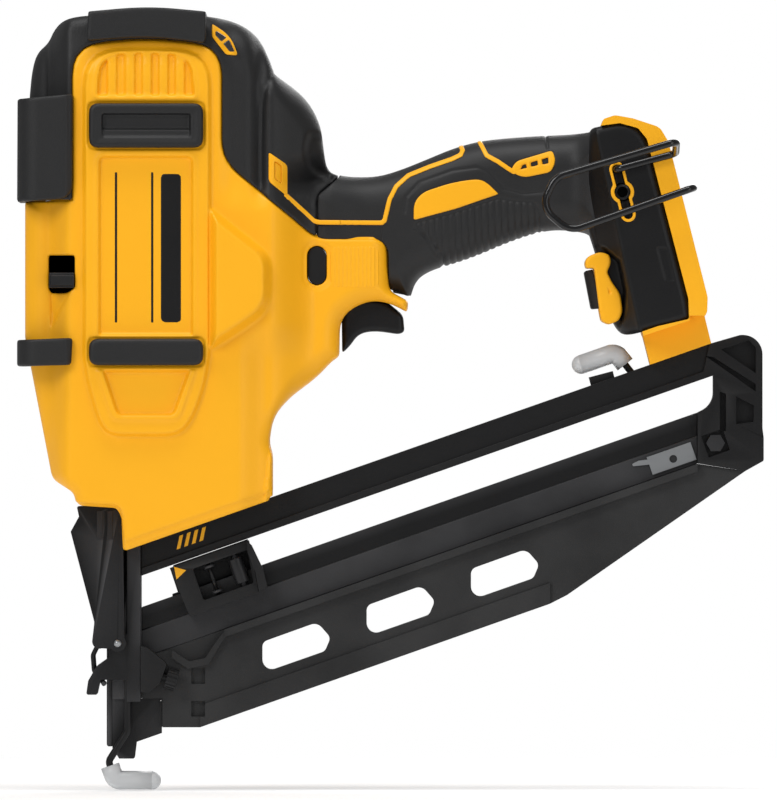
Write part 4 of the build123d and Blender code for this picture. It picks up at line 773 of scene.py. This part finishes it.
def dress(node):
    obj = frame["nodes"][node]
    for index in range(len(obj.data.materials)):
        obj.data.materials[index] = MATERIALS[SLOTS[node]]
    weld = obj.modifiers.new("weld", "WELD")
    weld.merge_threshold = WELD_DISTANCE
    for face in obj.data.polygons:
        face.use_smooth = True
    if node in ROUND:
        return
    flat = obj.modifiers.new("flat", "DECIMATE")
    flat.decimate_type = "DISSOLVE"
    flat.angle_limit = FLAT_ANGLE
    bevel = obj.modifiers.new("soft_edge", "BEVEL")
    bevel.width = EDGE.get(node, SMALL_EDGE) * MM
    bevel.segments = 2
    bevel.limit_method = "ANGLE"
    bevel.angle_limit = EDGE_ANGLE
    bevel.harden_normals = False
    smooth = obj.modifiers.new("shade", "WEIGHTED_NORMAL")
    smooth.keep_sharp = True


for node in frame["nodes"]:
    if node not in REPLACED:
        dress(node)


def stand_for(obj, node, slot, body="shell"):
    paint(obj, slot)
    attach(obj, body)
    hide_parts(node)


# room to mesh each shell in: x from and to, half width, z from and to
BODY_SPACE, CAP_SPACE = (-43, 117, 41, 98, 318.5), (-41, 105, 41, 218, 318.5)
GRIP_SPACE, FOOT_SPACE = (76, FOOT_X + 2, 27, 198, 273), (FOOT_X - 7, FOOT_X + 37, 34, 184, 274)


def one_side(x0, x1, half_wide, z0, z1, side):
    """Corners of the space that one half of a shell takes."""
    return (x0, -half_wide if side < 0 else 0, z0), (x1, 0 if side < 0 else half_wide, z1)


for side, name in ((-1, "left"), (1, "right")):
    housing = housing_near if side < 0 else housing_far
    for piece, node, field, space, cell, share, slot in (
        ("yellow_housing_", "housing_", housing, BODY_SPACE, 0.75, 0.5, "yellow_plastic"),
        ("top_cap_", "cover_", half(cover_field, side), CAP_SPACE, 0.8, 1.0, "black_rubber"),
        ("grip_sleeve_", "grip_", half(grip_shell, side), GRIP_SPACE, 0.5, 1.0, "black_rubber"),
        ("foot_shell_", "foot_cover_", half(foot_field, side), FOOT_SPACE, 0.6, 1.0, "black_plastic"),
    ):
        stand_for(sculpt(piece + name, field, *one_side(*space, side), cell, share), node + name, slot)

SOFT_CELL = 0.7
for name, node, field, lowest, highest in (
    ("top_bumper", "bumper_top", wrap_field(TOP_PAD), (-17, -40, 300), (34, 40, 322)),
    ("front_bumper_upper", "bumper_front_upper", wrap_field(FRONT_PAD), (-46, -40, 240), (-20, 40, 286)),
    ("front_bumper_lower", "bumper_front_lower", wrap_field(LOW_PAD), (-46, -40, 172), (-20, 40, 186)),
    ("side_bumpers", "side_pads", pads_field, (-16, -41, 172), (33, 41, 283)),
):
    stand_for(sculpt(name, field, lowest, highest, SOFT_CELL), node, "black_rubber")


# ---- inlays and small pieces on the shells ----

SEAM_LINE = [
    (65.4, 243.2), (77, 232.6), (79, 232.2), (104.5, 232), (105.6, 233), (107.6, 241.5), (110.4, 247),
    (115.4, 251.5), (124, 255), (133.3, 258.2), (136.8, 259.9), (137.6, 261.8), (135.6, 266),
    (134.5, 272),
]
TAG_LINE = [(143.2, 272), (144.6, 265), (147.4, 259.6), (152, 257.1), (156.2, 254.2), (158.5, 252.8)]
TAG_WINDOWS = [
    [(160.6, 253.4, 0.5), (164.2, 254.2, 0.5), (163.8, 256.6, 0.5), (161.8, 255.9, 0.5)],
    [(165.2, 254.5, 0.5), (168.8, 255.3, 0.5), (168.4, 257.9, 0.5), (165, 257, 0.5)],
    [(169.9, 255.5, 0.5), (173, 256, 0.5), (172.8, 259.2, 0.5), (169.6, 258.2, 0.5)],
]


def skin(x, y, z):
    """Outer surface of the cap and the grip together, without their relief."""
    grip = both_in(inside(GRIP, x, z), np.abs(y) - grip_half_width(x), GRIP_ROUND)
    return np.minimum(np.maximum(body_field(x, y, z), x - SKIN_X), grip)


def inlay(outline_field, proud, surface, deep=1.2, edge=0.3):
    """Thin piece let into a surface: the part of its skin inside an outline."""
    def field(x, y, z):
        base = surface(x, y, z)
        return both_in(np.maximum(base - proud, -base - deep), outline_field(x, z), edge)
    return field


def ringed(outer, *holes):
    def field(x, z):
        shape = inside(outer, x, z)
        for hole in holes:
            shape = np.maximum(shape, -inside(hole, x, z))
        return shape
    return field


def fit(obj, slot, body="shell"):
    paint(obj, slot)
    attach(obj, body)


PIPING_HALF = 0.95
TAG_WINDOW_DEEP = 0.9


def piping(x, z):
    return np.minimum(from_line(SEAM_LINE, x, z), from_line(TAG_LINE, x, z)) - PIPING_HALF


def label_surface(x, y, z):
    return np.abs(y) - (BODY_HALF - 1.7)


LABEL_LINES = [rectangle(-4.6, 191, -3.5, 252.5), rectangle(10.2, 191, 11.2, 252.5)]
STRIP = [(14.2, 191.2, 2), (22.6, 191.2, 2), (22.6, 252, 2.4), (14.2, 252, 2)]


def prints(x, z):
    lines = np.minimum(inside(LABEL_LINES[0], x, z), inside(LABEL_LINES[1], x, z))
    return np.minimum(lines, inside(STRIP, x, z))


def tag_field(x, y, z):
    windows = sum(within(inside(outline, x, z), 0.5) for outline in TAG_WINDOWS)
    return inlay(ringed(TAG), 0.45, skin)(x, y, z) + TAG_WINDOW_DEEP * windows


lozenge = inlay(ringed(LOZENGE, LOZENGE_IN), 0.5, body_field, 1.5)
lozenge_floor = inlay(ringed(LOZENGE_IN), -0.1, body_field, 1.5)
light = inlay(ringed(LIGHT, *PANES), 0.35, body_field, 2.0)
label = inlay(prints, 0.12, label_surface, 0.8, 0.1)
badge = inlay(ringed(BADGE), 0.25, skin)
for name, field, lowest, highest, cell, slot in (
    ("grip_piping", inlay(piping, 0.3, skin), (63, -32, 228), (161, 32, 274), 0.45, "yellow_plastic"),
    ("grip_tag", tag_field, (155, -19, 249), (177, 19, 263), 0.4, "yellow_plastic"),
    ("grip_badge", badge, (116, -19, 231), (154, 19, 252), 0.45, "yellow_plastic"),
    ("cap_lozenge", lozenge, (57, -34, 241), (67, 34, 262), 0.35, "yellow_plastic"),
    ("cap_lozenge_floor", lozenge_floor, (57, -34, 241), (67, 34, 262), 0.4, "yellow_plastic"),
    ("light_surrounds", light, (33, -34, 299), (48, 34, 315), 0.35, "yellow_plastic"),
    ("label_print", label, (-6, -35, 189), (24, 35, 254), 0.4, "black_plastic"),
):
    fit(sculpt(name, field, lowest, highest, cell), slot)


def extruded(name, outline, y0, y1, slot, body="shell", bevel=0.4):
    """Flat-sided piece from an outline in x and z with bevelled edges."""
    work = bmesh.new()
    ring = [work.verts.new((a * MM, y0 * MM, b * MM)) for a, b in curved(outline)]
    work.faces.new(ring)
    top = bmesh.ops.extrude_face_region(work, geom=list(work.faces))
    for v in top["geom"]:
        if isinstance(v, bmesh.types.BMVert):
            v.co.y = y1 * MM
    bmesh.ops.recalc_face_normals(work, faces=list(work.faces))
    mesh = bpy.data.meshes.new(name)
    work.to_mesh(mesh)
    work.free()
    obj = bpy.data.objects.new(name, mesh)
    bpy.context.scene.collection.objects.link(obj)
    if bevel:
        soft = obj.modifiers.new("soft_edge", "BEVEL")
        soft.width = bevel * MM
        soft.segments = 3
        soft.limit_method = "ANGLE"
        soft.angle_limit = radians(40)
        for face in mesh.polygons:
            face.use_smooth = True
        obj.modifiers.new("shade", "WEIGHTED_NORMAL")
    fit(obj, slot, body)


COLLAR_OUT, COLLAR_IN, COLLAR_Y, COLLAR_HALF = 6.0, 3.8, 12.4, 1.1


def collar_field(x, y, z):
    """Collar inside the neck that the lock-off button slides through."""
    ring = np.maximum(lock_hole(x, z, COLLAR_OUT), -lock_hole(x, z, COLLAR_IN))
    return both_in(ring, np.abs(np.abs(y) - COLLAR_Y) - COLLAR_HALF, 0.2)


THUMB_PITCH, THUMB_DEEP = 1.62, 0.3


def thumb_field(x, y, z):
    patch = inlay(ringed(RIB_PATCH), 0.2, body_field)(x, y, z)
    return patch + THUMB_DEEP * waves(x, THUMB_PITCH)


fit(sculpt("lock_off_collar", collar_field, (71, -14, 203), (85, 14, 226), 0.4), "black_plastic")
extruded("stall_pocket", rectangle(-34, 201, -17, 222), -22.5, -20.5, "black_plastic", bevel=0.5)
fit(sculpt("thumb_ribs", thumb_field, (82, -22, 204), (105, 22, 224), 0.3), "yellow_plastic")

TRIGGER = [
    (88.2, 178.6, 1.5), (91.4, 181.6, 3), (94.9, 186.6, 4), (101.5, 187.9, 6), (111.4, 186.4, 1.5),
    (113.8, 187.4, 1.5), (113.2, 194.4, 2), (106, 200.2, 3), (98, 201.4), (88.6, 201.2, 1.5), (88, 192),
]
TRIGGER_PIN, TRIGGER_BORE, TRIGGER_HALF = (91.5, 202.5), 2.15, 7.9


def trigger_field(x, y, z):
    body = both_in(inside(TRIGGER, x, z), np.abs(y) - TRIGGER_HALF, 2.2)
    return np.maximum(body, TRIGGER_BORE - np.hypot(x - TRIGGER_PIN[0], z - TRIGGER_PIN[1]))


lever = sculpt("trigger_lever", trigger_field, (87, -9, 177), (115, 9, 203), 0.5)
stand_for(lever, "trigger", "black_plastic", "trigger")

SELECTOR = [
    (FOOT_X - 6.6, 216, 1.5), (FOOT_X - 5, 218.4, 1.5), (FOOT_X - 0.2, 220.2, 2),
    (FOOT_X + 3.8, 218.8, 1.5), (FOOT_X + 4.2, 215.4, 1.5), (FOOT_X + 2.6, 211.8, 1),
    (FOOT_X + 4.6, 207.6, 2), (FOOT_X + 8, 203, 2), (FOOT_X + 9.1, 196, 2), (FOOT_X + 7.6, 192.2, 1.5),
    (FOOT_X + 3.5, 190.2, 1.5), (FOOT_X + 0.2, 191.8, 1), (FOOT_X - 0.6, 196, 0.6),
    (FOOT_X - 2.8, 213.4, 0.6), (FOOT_X - 6, 213.4, 0.6),
]
SELECTOR_EYE = [(FOOT_X + 2.6, 206.4, 1), (FOOT_X + 4.8, 203.4, 1.4), (FOOT_X + 3.4, 202.2, 1)]
SELECTOR_HALF = high("selector_bracket").y
SELECTOR_GAP = [
    (FOOT_X - 9, 213.4), (FOOT_X - 3, 213.4), (FOOT_X - 1, 205), (FOOT_X + 1.2, 196.2),
    (FOOT_X - 7, 196.2),
]


def selector_field(x, y, z):
    body = both_in(inside(SELECTOR, x, z), np.abs(y) - SELECTOR_HALF, 1.1)
    body = body + 0.8 * within(inside(SELECTOR_EYE, x, z), 0.5)
    body = np.maximum(body, -np.maximum(inside(SELECTOR_GAP, x, z), np.abs(y) - SELECTOR_HALF + 5))
    return np.maximum(body, -foot_solid(x, y, z) + 0.1)


def key_ring(x, y, z):
    """Keyhole trims on both foot covers."""
    ring = np.maximum(key_field(x, z, *KEY_TRIM), -key_field(x, z, *KEY_HOLE))
    return both_in(ring, np.abs(np.abs(y) - FOOT_HALF + 0.6) - 0.9, 0.25)


bracket = sculpt("selector_guard", selector_field, (FOOT_X - 8, -25, 189), (FOOT_X + 11, 25, 222), 0.45)
stand_for(bracket, "selector_bracket", "yellow_plastic")
fit(sculpt("keyhole_trims", key_ring, (KEY_X - 8, -34, 229), (KEY_X + 8, 34, 260), 0.35), "yellow_plastic")


# ---- strips that run with the magazine ----

TRACK_X, TRACK_SEAT, TRACK_Y = 6.2, (36.2, 37.1), (1.3, 4.2)    # seat: start, heights and y
LIP_Y = (1.3, 3.2)
SHOE, SHOE_OUT, SHOE_IN = (19.0, 49.6, 68.8, 70.3), 0.6, -5.2
MARKER, MARKER_SUNK, MARKER_PROUD = [(19.4, 91.2), (20.4, 86.0), (24.3, 89.8)], 0.3, 0.2
STRIPE_X, STRIPE_PITCH, STRIPE_WIDE, STRIPE_TALL, STRIPE_LEAN = 20.4, 3.1, 1.5, 5.2, 1.2
STRIPE_HEIGHT = 76.2
STRIPE_OUT, STRIPE_IN = 1.35, 1.6       # how far the stripes' two faces lie inside the frame's widest point
PUSHER_FACE = low("nail_pusher").y + 3.0
TRACK_REAR = high("nail_track").x - 0.5
LIP = [(6.2, 36.4), (14.0, 36.4), (14.0, 25.6), (14.9, 25.6), (14.9, 37.7), (6.2, 37.7)]


def sloped(x0, x1, h0, h1):
    """Strip that runs with the magazine between two heights over its lower edge."""
    return [(x0, slope_z(x0, h0)), (x1, slope_z(x1, h0)), (x1, slope_z(x1, h1)), (x0, slope_z(x0, h1))]


def slanted(x):
    """One of the leaning stripes on the rail."""
    end, lean = x + STRIPE_WIDE, STRIPE_LEAN
    corners = [(x, 0), (end, 0), (end + lean, STRIPE_TALL), (x + lean, STRIPE_TALL)]
    return [(at, slope_z(at, STRIPE_HEIGHT) + up) for at, up in corners]


for side, name in ((-1, "left"), (1, "right")):
    face = high("magazine_frame").y if side > 0 else low("magazine_frame").y
    for number in range(4):
        stripe = slanted(STRIPE_X + STRIPE_PITCH * number)
        faces = sorted((face - side * STRIPE_IN, face - side * STRIPE_OUT))
        extruded(f"rail_stripe_{name}_{number + 1}", stripe, *faces, "yellow_plastic", bevel=0)
for side, name in ((-1, "left"), (1, "right")):
    seat = sloped(TRACK_X, TRACK_REAR, *TRACK_SEAT)
    extruded("track_seat_" + name, seat, *sorted(side * y for y in TRACK_Y), "black_plastic", bevel=0)
    extruded("nose_lip_" + name, LIP, *sorted(side * y for y in LIP_Y), "black_plastic", bevel=0)
shoe_y = PUSHER_FACE + SHOE_OUT, SHOE_IN
marker_y = PUSHER_FACE - MARKER_PROUD, PUSHER_FACE + MARKER_SUNK
extruded("pusher_shoe", sloped(*SHOE), *shoe_y, "black_plastic", "pusher", bevel=0.2)
extruded("pusher_marker", MARKER, *marker_y, "yellow_plastic", "pusher", bevel=0)


# ---- stage ----

WORLD_LIGHT = 0.34      # what the white world gives off, seen by anything but the camera
FLOOR = [(-0.8, -0.8, 0), (1.0, -0.8, 0), (1.0, 0.8, 0), (-0.8, 0.8, 0)]
FLOOR_DROP = 0.0005
CENTRE = Vector((0.1072, 0, 0.1595))
VIEW_TALL = 0.328
FAR = 9.0               # distance of the camera, so that the view is nearly flat
LIGHTS = {              # place, size, power
    "key": ((-0.7, -1.1, 0.95), (0.5, 0.6), 8.2),
    "fill": ((1.0, -1.2, 0.35), (0.5, 0.9), 3.0),
    "top": ((0.05, -0.25, 1.15), (0.7, 0.3), 5),
    "back": ((0.5, 1.1, 0.7), (0.8, 0.8), 7),
}


def stage():
    floor = mesh_object("floor", np.array(FLOOR, float), np.array([[0, 1, 2, 3]]))
    floor.location.z = -FLOOR_DROP
    pale = bpy.data.materials.new("pale_floor")
    pale.use_nodes = True
    inputs = pale.node_tree.nodes["Principled BSDF"].inputs
    inputs["Base Color"].default_value = (0.9, 0.9, 0.9, 1)
    inputs["Roughness"].default_value = 0.7
    inputs["Emission Color"].default_value = (1, 1, 1, 1)
    inputs["Emission Strength"].default_value = 0.2
    floor.data.materials.append(pale)
    world = bpy.data.worlds.new("studio")
    bpy.context.scene.world = world
    world.use_nodes = True
    nodes, links = world.node_tree.nodes, world.node_tree.links
    back = nodes["Background"]
    back.inputs["Color"].default_value = (1, 1, 1, 1)
    seen = nodes.new("ShaderNodeLightPath")
    level = nodes.new("ShaderNodeMapRange")
    level.inputs["To Min"].default_value = WORLD_LIGHT
    level.inputs["To Max"].default_value = 1.0
    links.new(seen.outputs["Is Camera Ray"], level.inputs["Value"])
    links.new(level.outputs["Result"], back.inputs["Strength"])


def area_light(name, place, size, power):
    data = bpy.data.lights.new(name, "AREA")
    data.shape = "RECTANGLE"
    data.size, data.size_y = size
    data.energy = power
    lamp = bpy.data.objects.new(name, data)
    bpy.context.scene.collection.objects.link(lamp)
    lamp.location = place
    lamp.rotation_mode = "QUATERNION"
    lamp.rotation_quaternion = (CENTRE - Vector(place)).to_track_quat("-Z", "Y")


def camera():
    data = bpy.data.cameras.new("camera")
    data.lens = data.sensor_width * FAR / VIEW_TALL
    data.clip_end = 40
    cam = bpy.data.objects.new("camera", data)
    bpy.context.scene.collection.objects.link(cam)
    cam.location = CENTRE - Vector((0, FAR, 0))
    cam.rotation_euler = (pi / 2, 0, 0)
    bpy.context.scene.camera = cam
    bpy.context.scene.view_settings.view_transform = "Standard"


stage()
camera()
for name, light in LIGHTS.items():
    area_light(name, *light)
